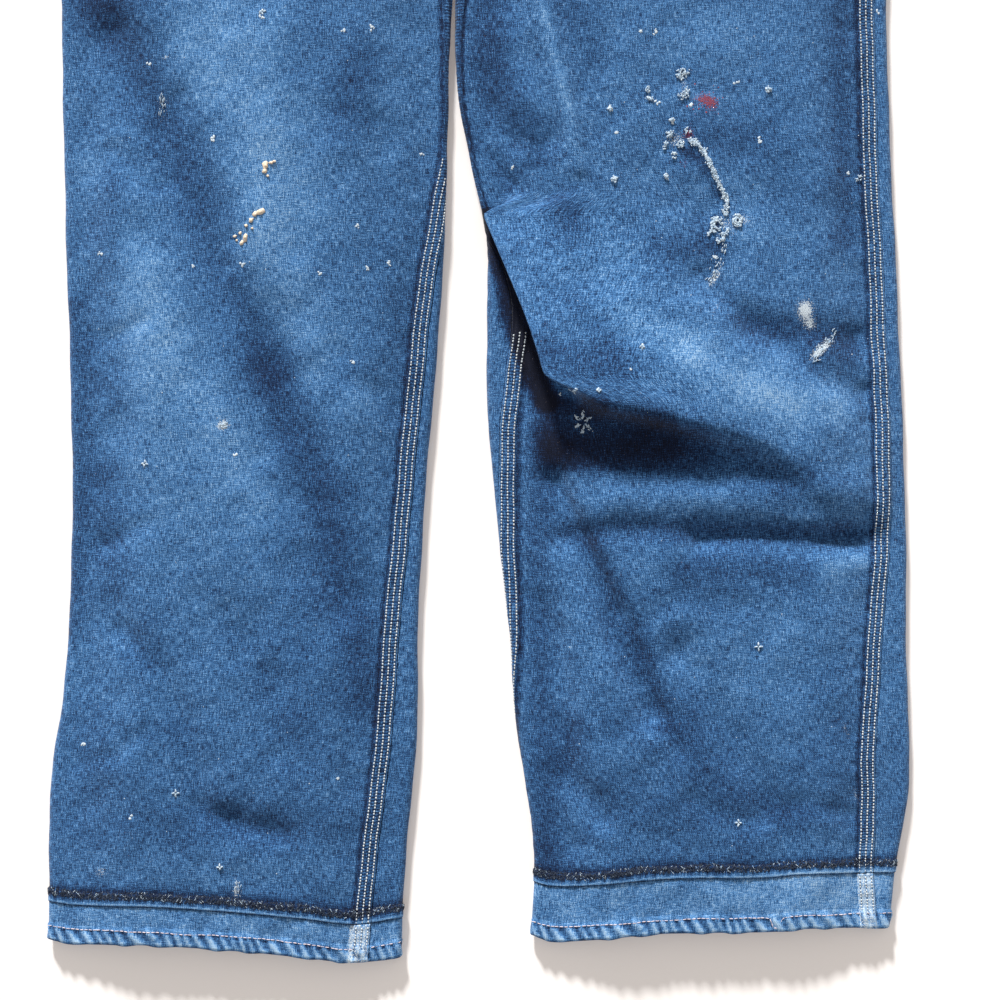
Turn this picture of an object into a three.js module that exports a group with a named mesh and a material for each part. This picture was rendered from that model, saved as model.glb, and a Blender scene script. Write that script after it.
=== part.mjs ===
// Paint-spattered denim dungarees, laid flat on their back with the front up.
//
// The garment is cut and sewn as the real one is: a front and a back panel for each leg, an old
// hem band sewn back on below each leg, a waistband and a bib in front, a yoke behind, and two
// straps that run from the yoke, fold over at the shoulder and hang on wire buckles and buttons.
// Every cloth piece is a wall of one layer of denim. The legs are flattened tubes: their underside
// is flat, they turn over at their two side folds, and the front stands off the back in soft
// folds, with a deep pouch at the left knee. Front panels lap over back panels, and the lap is
// the raised strip that carries three rows of stitching.
//
// Millimetres, +Z up, +Y from the hems towards the bib, +X towards the wearer's left. "Right" and
// "left" are the wearer's. The pattern below is drawn from the lowest hem upwards, and the
// finished group is moved so that its origin is the middle of what it rests on.

import * as THREE from "three";

// ---- Driving dimensions ------------------------------------------------------------------------

const CLOTH = 1.2; // one layer of denim
const LAP = 1.2; // how much thicker a lapped edge is than one layer
const LAP_WIDTH = 11.5; // width of a lapped seam
const TURNING = 9; // depth of the turned-under edge that joins leg to hem band
const STEP = 0.6; // run over which a lapped edge steps down to one layer
const FOLD = 5; // outside radius of the fold at each side of a leg
const GAP = 0.3; // clearance between pieces at a seam
const SEAM = 0.9; // the same, along the outside of a side fold, where a seam narrows inwards

const CROTCH = 715; // heights above the lowest hem
const WAIST = 1015;
const WAISTBAND_TOP = 1050;
const BIB_TOP = 1312;
const YOKE_TOP = 1205;
const SHOULDER = 1432;

const CENTRE = -18; // the centre seam leans from here at the crotch to nothing at the waist
const QUARTER = (FOLD * Math.PI) / 2; // cloth used by a quarter turn of a side fold

// Side folds of the legs and hips, as [height, x].
const RIGHT_OUTER = [
  [0, -311], [88, -310.5], [140, -308.5], [196, -300], [325, -294], [541, -299], [693, -302],
  [770, -302], [850, -290], [930, -269], [WAIST, -251], [WAISTBAND_TOP, -248],
];
const RIGHT_INNER = [
  [0, -57], [80, -53], [153, -46], [261, -44], [369, -37], [455, -29.5], [541, -25], [640, -23],
  [CROTCH, CENTRE - 0.9],
];
const LEFT_INNER = [
  [0, 37], [66, 38.5], [153, 28], [239, 21.5], [325, 11.5], [390, 5.8], [455, 4.3], [520, 5],
  [563, -3.6], [620, -14.4], [655, -17.5], [CROTCH, CENTRE + 0.9],
];
const LEFT_OUTER = [
  [0, 295], [45, 300], [117, 309.5], [217, 307.5], [325, 306.7], [477, 301], [606, 295],
  [693, 293], [770, 294], [850, 285], [930, 267], [WAIST, 251], [WAISTBAND_TOP, 248],
];

// Where each seam lies, as [height, distance from its side fold along the cloth]. A positive
// distance is on the front and a negative one is underneath.
const RIGHT_OUTSEAM = [[0, -24], [640, -24], [760, -10], [900, 18], [WAISTBAND_TOP, 18]];
const RIGHT_INSEAM = [
  [0, 26.5], [103, 22.7], [172, 20.5], [240, 16], [333, 12], [394, 11.3], [486, 8.5], [546, 0.5],
  [590, -6], [660, -5], [CROTCH, 0],
];
const LEFT_INSEAM = [
  [0, -14], [150, -14], [196, -8], [247, -2], [309, 3.5], [375, 10.3], [422, 17], [469, 21.5],
  [500, 14], [520, 4], [545, -6], [660, -5], [CROTCH, 0],
];
const LEFT_OUTSEAM = [
  [0, 12.6], [68, 23], [140, 29], [222, 22], [334, 14.3], [560, 13], [693, 12.6], [900, 18],
  [WAISTBAND_TOP, 18],
];

// The hem bands are not level: [x, drop or rise of the hem line].
const RIGHT_BAND = 28;
const LEFT_BAND = 39.5;
const RIGHT_HEM = [[-311, 16], [-292, 13.5], [-240, 13], [-173, 8.8], [-128, 4.5], [-88, 0], [-57, 4]];
const LEFT_HEM = [[37, 19], [50, 15.5], [72, 15.8], [132, 21.5], [202, 22.5], [235, 25], [300, 25]];
const HEM_FADE = 150; // the slant dies out over this height of leg

// ---- The lie of the cloth ----------------------------------------------------------------------

// Troughs and ridges: a chain of [x, height] points, half-width, and rise (a trough is negative).
const FOLDS = [
  { run: [[-259, 664], [-209, 549], [-151, 441], [-122, 354], [-97, 261]], width: 19, rise: -6 },
  { run: [[-151, 650], [-158, 505]], width: 36, rise: 4 },
  { run: [[-266, 549], [-238, 455], [-202, 361], [-180, 290]], width: 24, rise: 3.5 },
  { run: [[-256, 239], [-227, 210], [-209, 160], [-198, 109], [-150, 95]], width: 11, rise: -4 },
  { run: [[47, 585], [58, 534]], width: 13, rise: -4 },
  { run: [[194, 455], [274, 448]], width: 13, rise: -4 },
  { run: [[158, 304], [202, 307], [230, 300], [274, 307]], width: 10, rise: -6 },
  { run: [[53, 347], [68, 300], [86, 261], [104, 221], [122, 178]], width: 11, rise: -7 },
  { run: [[36, 261], [53, 236], [61, 189], [63, 138], [89, 107]], width: 10, rise: -4.5 },
  { run: [[144, 225], [173, 174], [202, 124]], width: 14, rise: -4 },
  { run: [[-40, 770], [-150, 850], [-205, 905]], width: 16, rise: -4 },
  { run: [[10, 770], [120, 845], [190, 910]], width: 16, rise: -4 },
];
const PUFF = [
  [0, 6], [60, 8], [160, 12], [400, 14], [620, 12], [CROTCH, 11], [900, 12], [WAISTBAND_TOP, 7],
];
const PUFF_RUN = 62; // how far in from a side fold the cloth reaches its full height
const DIP_REACH = 130; // how far above the crotch the dip between the legs runs

// The pouch at the left knee. Its left side hangs over the inseam as a rolled lip.
const POUCH = {
  lip: [[395, 49], [410, 46], [455, 32], [491, 18], [530, 3], [565, -8]], // [height, x of the lip]
  foot: 15.4, // the cloth turns back under the lip by this much
  roll: 24, // cloth in the roll of the lip
  sweep: 38, // how far the roll carries the cloth sideways
  settle: 90, // the cloth is back in place this far past the lip
  crest: [[40, 408], [101, 399], [158, 387], [209, 372], [262, 338]], // [x, height of the lower edge]
  drop: [[40, 12], [158, 16], [262, 34]], // [x, run of the lower edge]
  rise: [[40, 21], [101, 21], [158, 17], [209, 11], [262, 5]], // [x, how far it stands up]
  reach: 150, // it dies away upwards over this height
};

const clamp = (t) => Math.min(Math.max(t, 0), 1);
const smooth = (t) => clamp(t) ** 2 * (3 - 2 * clamp(t));

// The value of a smooth curve through [at, value] points.
function along(points, at) {
  const last = points.length - 1;
  if (at <= points[0][0]) return points[0][1];
  if (at >= points[last][0]) return points[last][1];
  let i = 0;
  while (points[i + 1][0] < at) i++;
  const slope = (k) => {
    const a = points[Math.max(k - 1, 0)];
    const b = points[Math.min(k + 1, last)];
    return (b[1] - a[1]) / (b[0] - a[0]);
  };
  const run = points[i + 1][0] - points[i][0];
  const t = (at - points[i][0]) / run;
  const [from, to] = [points[i][1], points[i + 1][1]];
  const ends = from + (to - from) * t * t * (3 - 2 * t);
  return ends + run * t * (1 - t) * ((1 - t) * slope(i) - t * slope(i + 1));
}

function distanceToRun(run, x, y) {
  let best = Infinity;
  for (let i = 0; i + 1 < run.length; i++) {
    const [ax, ay] = run[i];
    const [dx, dy] = [run[i + 1][0] - ax, run[i + 1][1] - ay];
    const t = clamp(((x - ax) * dx + (y - ay) * dy) / (dx * dx + dy * dy));
    best = Math.min(best, Math.hypot(x - ax - t * dx, y - ay - t * dy));
  }
  return best;
}

// How much of the knee pouch's side roll there is at a height: 1 is a full lip.
const lipShare = (y) => smooth((y - 398) / 25) * (1 - smooth((y - 512) / 33));

// How far along its roll the cloth at x is: 0 at the foot, 1 on top of the lip.
const rollShare = (x, y) => (x - along(POUCH.lip, y) - POUCH.foot) / POUCH.roll;

function pouchRise(x, y) {
  const above = y - along(POUCH.crest, x);
  const edge = smooth(above / along(POUCH.drop, x) + 1);
  return along(POUCH.rise, x) * edge * smooth(rollShare(x, y)) * (1 - smooth(above / POUCH.reach));
}

function pouchShift(x, y) {
  const t = rollShare(x, y);
  const back = t < 1 ? smooth(t) : 1 - smooth(((t - 1) * POUCH.roll) / POUCH.settle);
  return -POUCH.sweep * back * lipShare(y);
}

// Height of the front above its side folds. Just above the crotch it still dips between the legs.
function relief(x, y, left, right) {
  const fromSide = Math.min(x - left, right - x) - FOLD;
  const dip = 1 - smooth((Math.abs(x - CENTRE) - FOLD) / PUFF_RUN);
  let z = along(PUFF, y) * smooth(fromSide / PUFF_RUN);
  if (y > CROTCH) z *= 1 - dip * (1 - smooth((y - CROTCH) / DIP_REACH));
  for (const fold of FOLDS) {
    z += fold.rise * Math.exp(-((distanceToRun(fold.run, x, y) / fold.width) ** 2)) * smooth(fromSide / 30);
  }
  if (left > -100 && y < CROTCH) z += pouchRise(x, y) * smooth(fromSide / 12);
  return Math.max(z, 0);
}

// ---- Flattened tubes ---------------------------------------------------------------------------

// One cut across a leg or the hips. s is cloth measured from the left-hand fold: over the front
// to the right-hand fold at s = span, and on underneath. Below the crotch a cut is one leg.
class Cut {
  constructor(leg, v) {
    const trunk = v > CROTCH;
    this.leg = leg;
    this.v = v;
    this.trunk = trunk;
    this.left = along(trunk ? RIGHT_OUTER : leg.left, v);
    this.right = along(trunk ? LEFT_OUTER : leg.right, v);
    this.top = this.right - this.left - 2 * FOLD;
    this.span = this.top + 2 * QUARTER;
  }

  centre() {
    return CENTRE * (1 - smooth((this.v - CROTCH) / (WAIST - CROTCH)));
  }

  // x on the front or underneath, as s.
  front(x) {
    return QUARTER + x - this.left - FOLD;
  }

  under(x) {
    return this.span + QUARTER + this.right - FOLD - x;
  }

  slant(x) {
    return along(this.leg.hem, x) * (1 - smooth((this.v - this.leg.band) / HEM_FADE));
  }

  place(x, z) {
    return new THREE.Vector3(x, this.v + this.slant(x), z);
  }

  // The outside of the cloth at s.
  point(s) {
    if (s < -QUARTER) return this.place(this.left + FOLD - QUARTER - s, 0);
    if (s < QUARTER) {
      const a = s / FOLD;
      return this.place(this.left + FOLD - Math.cos(a) * FOLD, FOLD + Math.sin(a) * FOLD);
    }
    if (s <= this.span - QUARTER) {
      const x = this.left + FOLD + s - QUARTER;
      const y = this.v + this.slant(x);
      const lipped = !this.trunk && this.left > -100;
      const p = this.place(x, 2 * FOLD + relief(x, y, this.left, this.right));
      if (lipped) p.x += pouchShift(x, y);
      return p;
    }
    const past = s - this.span;
    if (past < QUARTER) {
      const a = past / FOLD;
      return this.place(this.right - FOLD + Math.cos(a) * FOLD, FOLD - Math.sin(a) * FOLD);
    }
    if (past < this.span - QUARTER) return this.place(this.right - FOLD - past + QUARTER, 0);
    return this.point(past - this.span);
  }

  // The wall at s: outside and inside points. A lapped edge stands out on the front, and
  // goes inwards underneath, where the garment rests flat.
  wall(s, lapped) {
    const reach = 0.05;
    const p = this.point(s);
    const across = this.point(s + reach).sub(this.point(s - reach));
    const out = new THREE.Vector3(-across.z, 0, across.x).normalize();
    const up = smooth(p.z / (2 * FOLD));
    const outside = p.clone().addScaledVector(out, lapped ? LAP * up : 0);
    const inside = p.clone().addScaledVector(out, -CLOTH - (lapped ? LAP * (1 - up) : 0));
    return [outside, inside];
  }
}

// Cloth positions across a panel: fixed ones where they lie inside it, pushed along where they
// would come too near its edges.
function spread(from, to, wanted) {
  const least = 0.8;
  return wanted.map((s, i) => {
    return Math.min(Math.max(s, from + least * (i + 1)), to - least * (wanted.length - i));
  });
}

const fractions = (from, to, count) =>
  Array.from({ length: count }, (_, i) => from + ((to - from) * (i + 1)) / (count + 1));

// A front panel's cloth positions, each with whether it is on a lapped edge.
function frontPositions(cut, from, to, count) {
  const edge = [0, 0.5, 1].map((t) => t * LAP_WIDTH);
  const centreLap = !(cut.trunk && cut.leg.lipped); // the right front laps over the left
  const inner = from + LAP_WIDTH + STEP;
  const outer = to - LAP_WIDTH - STEP;
  const folds = [-QUARTER, -QUARTER / 2, 0, QUARTER / 2, QUARTER];
  const lip = cut.front(along(POUCH.lip, cut.v) + POUCH.foot);
  const roll = cut.leg.lipped ? [-2, 3, 8, 12, 16, 21, 28].map((d) => lip + d) : [];
  const rest = fractions(Math.max(QUARTER, inner, ...roll), outer, count - roll.length);
  const middle = spread(inner, outer, [...(cut.leg.lipped ? folds.slice(2) : folds), ...roll, ...rest]);
  return [
    ...edge.map((d) => [from + d, centreLap]),
    [inner, false],
    ...middle.map((s) => [s, false]),
    [outer, false],
    ...edge.map((d) => [to - LAP_WIDTH + d, true]),
  ];
}

// A back panel runs from one seam under the leg to the other, round one or both side folds.
function backPositions(cut, from, to, count) {
  const turn = [0, 0.5, 1, 1.5, 2].map((t) => cut.span - QUARTER + t * QUARTER);
  const far = turn.map((s) => s + cut.span);
  const near = cut.trunk && !cut.leg.lipped ? fractions(from, to, 3) : turn.slice(cut.leg.lipped ? 0 : 1);
  const rest = fractions(Math.max(...near, from), Math.min(...far, to), count);
  const middle = spread(from, to, [...near.slice(0, cut.leg.lipped ? 5 : 3), ...rest, ...far]);
  return [from, ...middle, to].map((s) => [s, false]);
}

const RIGHT_LEG = {
  left: RIGHT_OUTER, right: RIGHT_INNER, hem: RIGHT_HEM, band: RIGHT_BAND, lipped: false,
  front: (cut) => [
    along(RIGHT_OUTSEAM, cut.v),
    cut.trunk ? cut.front(cut.centre()) - GAP / 2 : cut.span - along(RIGHT_INSEAM, cut.v),
  ],
  back: (cut) => [
    cut.trunk ? cut.under(cut.centre()) + GAP / 2 : cut.span - along(RIGHT_INSEAM, cut.v) + SEAM,
    2 * cut.span + along(RIGHT_OUTSEAM, cut.v) - SEAM,
  ],
};
const LEFT_LEG = {
  left: LEFT_INNER, right: LEFT_OUTER, hem: LEFT_HEM, band: LEFT_BAND, lipped: true,
  front: (cut) => [
    cut.trunk ? cut.front(cut.centre()) + GAP / 2 : along(LEFT_INSEAM, cut.v),
    cut.span - along(LEFT_OUTSEAM, cut.v),
  ],
  back: (cut) => [
    cut.span - along(LEFT_OUTSEAM, cut.v) + SEAM,
    cut.trunk ? cut.under(cut.centre()) - GAP / 2 : 2 * cut.span + along(LEFT_INSEAM, cut.v) - SEAM,
  ],
};

// ---- Walls and meshes --------------------------------------------------------------------------

const DENIM = new THREE.MeshStandardMaterial({ name: "denim", color: 0x4f7fb3, roughness: 0.92 });
const BAND_DENIM = new THREE.MeshStandardMaterial({ name: "worn_denim", color: 0x6f9cc6, roughness: 0.92 });
const STEEL = new THREE.MeshStandardMaterial({
  name: "steel",
  color: 0xb9b4a8,
  roughness: 0.35,
  metalness: 1,
});

const dungarees = new THREE.Group();

// A closed geometry from vertices and faces, turned so that its faces point out.
function solid(vertices, triangles) {
  let volume = 0;
  for (let i = 0; i < triangles.length; i += 3) {
    const [a, b, c] = [0, 1, 2].map((k) => vertices[triangles[i + k]]);
    volume += a.dot(new THREE.Vector3().crossVectors(b, c));
  }
  if (volume < 0) triangles.reverse();
  const geometry = new THREE.BufferGeometry().setFromPoints(vertices);
  geometry.setIndex(triangles);
  geometry.computeVertexNormals();
  return geometry;
}

// A wall of cloth from rows of [outside, inside] points.
function clothWall(rows) {
  const [high, wide] = [rows.length, rows[0].length];
  const vertices = rows.flat().flat();
  const at = (j, i, side) => 2 * (j * wide + i) + side;
  const triangles = [];
  const quad = (a, b, c, d) => triangles.push(a, b, c, a, c, d);
  for (let j = 0; j + 1 < high; j++) {
    for (let i = 0; i + 1 < wide; i++) {
      quad(at(j, i, 0), at(j, i + 1, 0), at(j + 1, i + 1, 0), at(j + 1, i, 0));
      quad(at(j, i, 1), at(j + 1, i, 1), at(j + 1, i + 1, 1), at(j, i + 1, 1));
    }
    quad(at(j, 0, 0), at(j + 1, 0, 0), at(j + 1, 0, 1), at(j, 0, 1));
    quad(at(j, wide - 1, 0), at(j, wide - 1, 1), at(j + 1, wide - 1, 1), at(j + 1, wide - 1, 0));
  }
  for (let i = 0; i + 1 < wide; i++) {
    quad(at(0, i, 0), at(0, i, 1), at(0, i + 1, 1), at(0, i + 1, 0));
    quad(at(high - 1, i, 0), at(high - 1, i + 1, 0), at(high - 1, i + 1, 1), at(high - 1, i, 1));
  }
  return solid(vertices, triangles);
}

function add(name, geometry, material) {
  const mesh = new THREE.Mesh(geometry, material);
  mesh.name = name;
  dungarees.add(mesh);
}

// ---- Legs and hem bands ------------------------------------------------------------------------

const TRUNK_ROWS = [CROTCH + FOLD, 750, 785, 808, 832, 858, 900, 950, WAIST - GAP];
const RIGHT_ROWS = [75, 120, 170, 225, 285, 345, 400, 450, 500, 546, 590, 640, 685, CROTCH];
const LEFT_ROWS = [
  85, 130, 175, 208, 235, 262, 300, 335, 358, 374, 386, 397, 410, 425, 455, 491, 515, 530, 545, 590, 640,
  685, CROTCH,
];

// The turned-under edge at the foot of a leg is as thick as a lap.
function legRow(leg, positions, v, turned) {
  const cut = new Cut(leg, v);
  return positions(cut).map(([s, lapped]) => cut.wall(s, lapped || turned));
}

function legWall(leg, rows, panel, count) {
  const columns = (cut) => panel === "front"
    ? frontPositions(cut, ...leg.front(cut), count)
    : backPositions(cut, ...leg.back(cut), count);
  const turned = [leg.band, leg.band + TURNING];
  const single = [leg.band + TURNING + STEP, ...rows, ...TRUNK_ROWS];
  return clothWall([
    ...turned.map((v) => legRow(leg, columns, v, true)),
    ...single.map((v) => legRow(leg, columns, v, false)),
  ]);
}

function bandWall(leg, panel, count) {
  const columns = (cut) => panel === "front"
    ? frontPositions(cut, ...leg.front(cut), count)
    : backPositions(cut, ...leg.back(cut), count);
  return clothWall([0, leg.band / 2, leg.band - GAP].map((v) => legRow(leg, columns, v, false)));
}

for (const [side, leg, rows, across] of [
  ["right", RIGHT_LEG, RIGHT_ROWS, 8],
  ["left", LEFT_LEG, LEFT_ROWS, 12],
]) {
  add(`${side}_leg_front`, legWall(leg, rows, "front", across), DENIM);
  add(`${side}_leg_back`, legWall(leg, rows, "back", 1), DENIM);
  add(`${side}_hem_front`, bandWall(leg, "front", across), BAND_DENIM);
  add(`${side}_hem_back`, bandWall(leg, "back", 1), BAND_DENIM);
}

// ---- Waistband, bib and yoke -------------------------------------------------------------------

const SIDE_LAP = 18; // the front laps over the back this far in from each hip fold

function waistbandWall() {
  const rows = [WAIST, WAISTBAND_TOP];
  return clothWall(rows.map((v) => {
    const cut = new Cut(RIGHT_LEG, v);
    const [from, to] = [SIDE_LAP, cut.span - SIDE_LAP];
    return [from, ...fractions(from, to, 11), to].map((s) => cut.wall(s, true));
  }));
}
add("waistband", waistbandWall(), DENIM);

const BIB_HALF = [[WAISTBAND_TOP, 152], [1130, 138], [BIB_TOP, 122]]; // [height, half-width]
const BIB_EDGE = 7.4; // height of the bib's free edges, which lie on the straps and yoke
const BIB_DOME = 8; // how much higher its middle stands

// Height of the bib's outside.
function bibHeight(x, y) {
  const cut = new Cut(RIGHT_LEG, WAISTBAND_TOP);
  const waist = 2 * FOLD + LAP + relief(x, WAISTBAND_TOP, cut.left, cut.right);
  const side = smooth((along(BIB_HALF, y) - Math.abs(x)) / 80);
  const dome = BIB_EDGE + BIB_DOME * side * smooth((BIB_TOP - y) / 150);
  return waist + (dome - waist) * smooth((y - WAISTBAND_TOP) / 90);
}

function bibWall() {
  const rows = [WAISTBAND_TOP + GAP, 1075, 1110, 1150, 1190, 1230, 1270, BIB_TOP - 24, BIB_TOP];
  return clothWall(rows.map((y) => {
    const half = along(BIB_HALF, y);
    return fractions(-half * 1.25, half * 1.25, 9).map((x) => {
      const z = bibHeight(x, y);
      return [new THREE.Vector3(x, y, z), new THREE.Vector3(x, y, z - CLOTH)];
    });
  }));
}
add("bib", bibWall(), DENIM);

// The yoke wraps round both hip folds at the waist, then its sides sweep in to the straps.
// Each row is [height, where its edge is: cloth past the hip fold, negative underneath].
const YOKE_ROWS = [
  [WAIST, SIDE_LAP - SEAM], [WAISTBAND_TOP - 8, SIDE_LAP - SEAM], [WAISTBAND_TOP, 10], [1056, 0],
  [1063, -QUARTER], [1075, -26], [1095, -60], [1120, -94], [1150, -122], [1180, -139], [YOKE_TOP, -146],
];

function yokeWall() {
  return clothWall(YOKE_ROWS.map(([v, edge]) => {
    const cut = new Cut(RIGHT_LEG, v);
    const [from, to] = [cut.span - edge, 2 * cut.span + edge];
    const turn = [-0.5, 0, 0.5, 1].map((t) => cut.span + t * QUARTER);
    const back = turn.map((s) => 3 * cut.span - s).reverse();
    const middle = fractions(Math.max(from, turn[3]), Math.min(to, back[0]), 2);
    return [from, ...spread(from, to, [...turn, ...middle, ...back]), to].map((s) => cut.wall(s, false));
  }));
}
add("back_yoke", yokeWall(), DENIM);

// ---- Straps, buckles and buttons ---------------------------------------------------------------

const STRAP_WIDTH = 38;
const STRAP = 2.4; // a strap is two layers
const WIRE = 1.25; // radius of the buckle wire
const BUCKLE = new THREE.Vector3(98, 1278, 14.1); // middle of the bar that the strap goes round
const LOOP = WIRE + 1.5 * GAP + STRAP / 2; // the strap's own middle turns round the bar at this radius

// A half turn of a strap's middle line, as [height, level] points, from top or bottom.
function halfTurn(y, z, radius, away, rising) {
  return [0, 1, 2, 3, 4, 5, 6].map((k) => {
    const a = (k * Math.PI) / 6 - Math.PI / 2;
    return [y + away * radius * Math.cos(a), z + (rising ? 1 : -1) * radius * Math.sin(a)];
  });
}

// The middle line of a strap, as [height, level]: from the yoke, up to the shoulder fold,
// back down over the bib's top edge, round the buckle's bar and up behind itself.
const RETURN_LEVEL = BUCKLE.z - LOOP;
const STRAP_LINE = [
  [YOKE_TOP - 38, 2.7], [YOKE_TOP, 2.7], [YOKE_TOP + 16, STRAP / 2], [1300, STRAP / 2],
  [1380, STRAP / 2],
  ...halfTurn(SHOULDER - 4.2, STRAP / 2 + 3, 3, 1, true),
  [1404, 5.4], [1380, 4.6], [1362, 6.4], [1344, 12.2], [1330, RETURN_LEVEL + STRAP + GAP],
  [1300, BUCKLE.z + 0.4],
  ...halfTurn(BUCKLE.y, BUCKLE.z, LOOP, -1, false),
  [1300, RETURN_LEVEL], [1330, RETURN_LEVEL - 0.4],
];
const STRAP_ACROSS = [[0, 74], [265, 86], [400, 98], [480, 98]]; // [cloth from the yoke, x of the middle]

function strapWall(side) {
  let gone = 0;
  const rows = STRAP_LINE.map(([y, z], i) => {
    const before = STRAP_LINE[Math.max(i - 1, 0)];
    const after = STRAP_LINE[Math.min(i + 1, STRAP_LINE.length - 1)];
    gone += Math.hypot(y - before[0], z - before[1]);
    const level = z === before[1] && z === after[1];
    const out = new THREE.Vector3(0, level ? 0 : before[1] - after[1], after[0] - before[0]);
    out.normalize().multiplyScalar(STRAP / 2);
    const middle = along(STRAP_ACROSS, gone) * side;
    return [-0.5, 0.5].map((t) => {
      const p = new THREE.Vector3(middle + t * STRAP_WIDTH, y, z);
      return [p.clone().add(out), p.clone().sub(out)];
    });
  });
  return clothWall(rows);
}

// The buckle: one wire, a straight bar for the strap, narrowing to a loop round the button.
function buckleWire(side) {
  const [x, y, z] = [BUCKLE.x * side, BUCKLE.y, BUCKLE.z];
  const half = STRAP_WIDTH / 2 + 4.5;
  const outline = [
    [-half + 3, 0], [half - 3, 0], [half, -3], [half, -15], [15, -24], [8.6, -33], [6, -41],
    [0, -44],
  ];
  const mirrored = outline.slice(2, -1).reverse().map(([a, b]) => [-a, b]);
  const points = [...outline, ...mirrored].map(([a, b]) => new THREE.Vector3(x + a, y + b, z));
  const path = new THREE.CatmullRomCurve3(points, true, "centripetal");
  const [steps, sides] = [36, 6];
  const frames = path.computeFrenetFrames(steps, true);
  const vertices = [];
  for (let k = 0; k < steps; k++) {
    const middle = path.getPointAt(k / steps);
    for (let j = 0; j < sides; j++) {
      const a = (j * 2 * Math.PI) / sides;
      vertices.push(middle.clone()
        .addScaledVector(frames.normals[k], WIRE * Math.cos(a))
        .addScaledVector(frames.binormals[k], WIRE * Math.sin(a)));
    }
  }
  const at = (k, j) => (k % steps) * sides + (j % sides);
  const triangles = [];
  for (let k = 0; k < steps; k++) {
    for (let j = 0; j < sides; j++) {
      triangles.push(at(k, j), at(k + 1, j), at(k + 1, j + 1), at(k, j), at(k + 1, j + 1), at(k, j + 1));
    }
  }
  return solid(vertices, triangles);
}

// A metal button: a foot on the cloth, a shank, and a domed head with a flat face on top.
const BUTTON_HEAD = 8.5;
function button(shank) {
  const head = shank + 1.2;
  const profile = [
    [0, 0], [4.6, 0], [4.6, 0.8], [2.4, 1.2], [2.4, shank], [BUTTON_HEAD - 0.6, shank],
    [BUTTON_HEAD, shank + 0.8], [BUTTON_HEAD - 1.2, head + 1], [5, head + 1.6], [0, head + 1.6],
  ];
  return new THREE.LatheGeometry(profile.map(([r, z]) => new THREE.Vector2(r, z)), 12)
    .rotateX(Math.PI / 2);
}

const BIB_BUTTON_Y = BUCKLE.y - 35;
const SIDE_BUTTONS = [["waist", (WAIST + WAISTBAND_TOP) / 2], ["hip", 925]];
const BUTTON_IN = SIDE_LAP + 6; // a side button's middle, from the hip fold

function addButton(name, x, y, surface, shank) {
  add(name, button(shank).translate(x, y, surface + GAP), STEEL);
}

for (const [side, sign] of [["right", -1], ["left", 1]]) {
  add(`${side}_strap`, strapWall(sign), DENIM);
  add(`${side}_buckle`, buckleWire(sign), STEEL);
  const bibX = BUCKLE.x * sign;
  const near = [-5, 5].flatMap((dx) => [-5, 5].map((dy) => [bibX + dx, BIB_BUTTON_Y + dy]));
  const highest = Math.max(...near.map(([x, y]) => bibHeight(x, y)));
  addButton(`${side}_bib_button`, bibX, BIB_BUTTON_Y, highest, BUCKLE.z + WIRE + GAP - highest);
  for (const [where, v] of SIDE_BUTTONS) {
    const cut = new Cut(RIGHT_LEG, v);
    const s = sign < 0 ? BUTTON_IN : cut.span - BUTTON_IN;
    const heights = [-5, 5].map((d) => cut.wall(s + d, true)[0].z);
    addButton(`${side}_${where}_button`, cut.point(s).x, v, Math.max(...heights) + 0.4, 2.4);
  }
}

// ---- Origin: the middle of what the garment rests on -------------------------------------------

const box = new THREE.Box3().setFromObject(dungarees, true);
dungarees.position.set(-(box.min.x + box.max.x) / 2, -(box.min.y + box.max.y) / 2, -box.min.z);

export default dungarees;
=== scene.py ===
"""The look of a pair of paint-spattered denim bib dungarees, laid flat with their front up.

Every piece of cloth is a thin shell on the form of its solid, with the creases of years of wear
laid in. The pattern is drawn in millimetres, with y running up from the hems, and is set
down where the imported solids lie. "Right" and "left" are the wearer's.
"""

import logging
import math
from dataclasses import dataclass
from enum import Enum

import bpy
import numpy as np
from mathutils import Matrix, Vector


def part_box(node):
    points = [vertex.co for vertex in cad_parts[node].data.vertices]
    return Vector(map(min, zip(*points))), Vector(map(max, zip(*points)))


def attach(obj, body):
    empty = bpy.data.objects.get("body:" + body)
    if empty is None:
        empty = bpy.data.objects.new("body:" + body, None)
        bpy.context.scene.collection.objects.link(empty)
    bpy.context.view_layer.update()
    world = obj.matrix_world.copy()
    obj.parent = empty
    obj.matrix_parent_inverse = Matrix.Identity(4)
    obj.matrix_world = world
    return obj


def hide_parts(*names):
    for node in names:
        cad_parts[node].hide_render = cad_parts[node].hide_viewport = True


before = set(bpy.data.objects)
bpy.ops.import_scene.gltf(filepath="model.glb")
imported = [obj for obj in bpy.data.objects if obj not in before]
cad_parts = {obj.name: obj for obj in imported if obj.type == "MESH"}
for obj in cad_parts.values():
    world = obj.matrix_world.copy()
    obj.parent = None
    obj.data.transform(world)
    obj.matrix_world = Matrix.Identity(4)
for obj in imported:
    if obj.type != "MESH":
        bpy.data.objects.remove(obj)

LOG = logging.getLogger("dungarees")
Run = tuple[tuple[float, float], ...]
Grid = np.ndarray
Thing = bpy.types.Object
Material = bpy.types.Material
Socket = bpy.types.NodeSocket
TURN = 2 * math.pi
UP = (0.0, 0.0, 1.0)

# ---- Sizes of the pattern, in millimetres ------------------------------------------------------

CLOTH = 1.2
LAP = 1.2
LAP_WIDTH = 11.5
TURNING = 9.0
FOLD = 5.0
GAP = 0.3
CROTCH, WAIST, WAISTBAND_TOP = 715.0, 1015.0, 1050.0
BIB_TOP, YOKE_TOP, SHOULDER = 1312.0, 1205.0, 1432.0
CENTRE = -18.0
QUARTER = FOLD * math.pi / 2
SIDE_LAP = 18.0
FAR = 99.0

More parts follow.
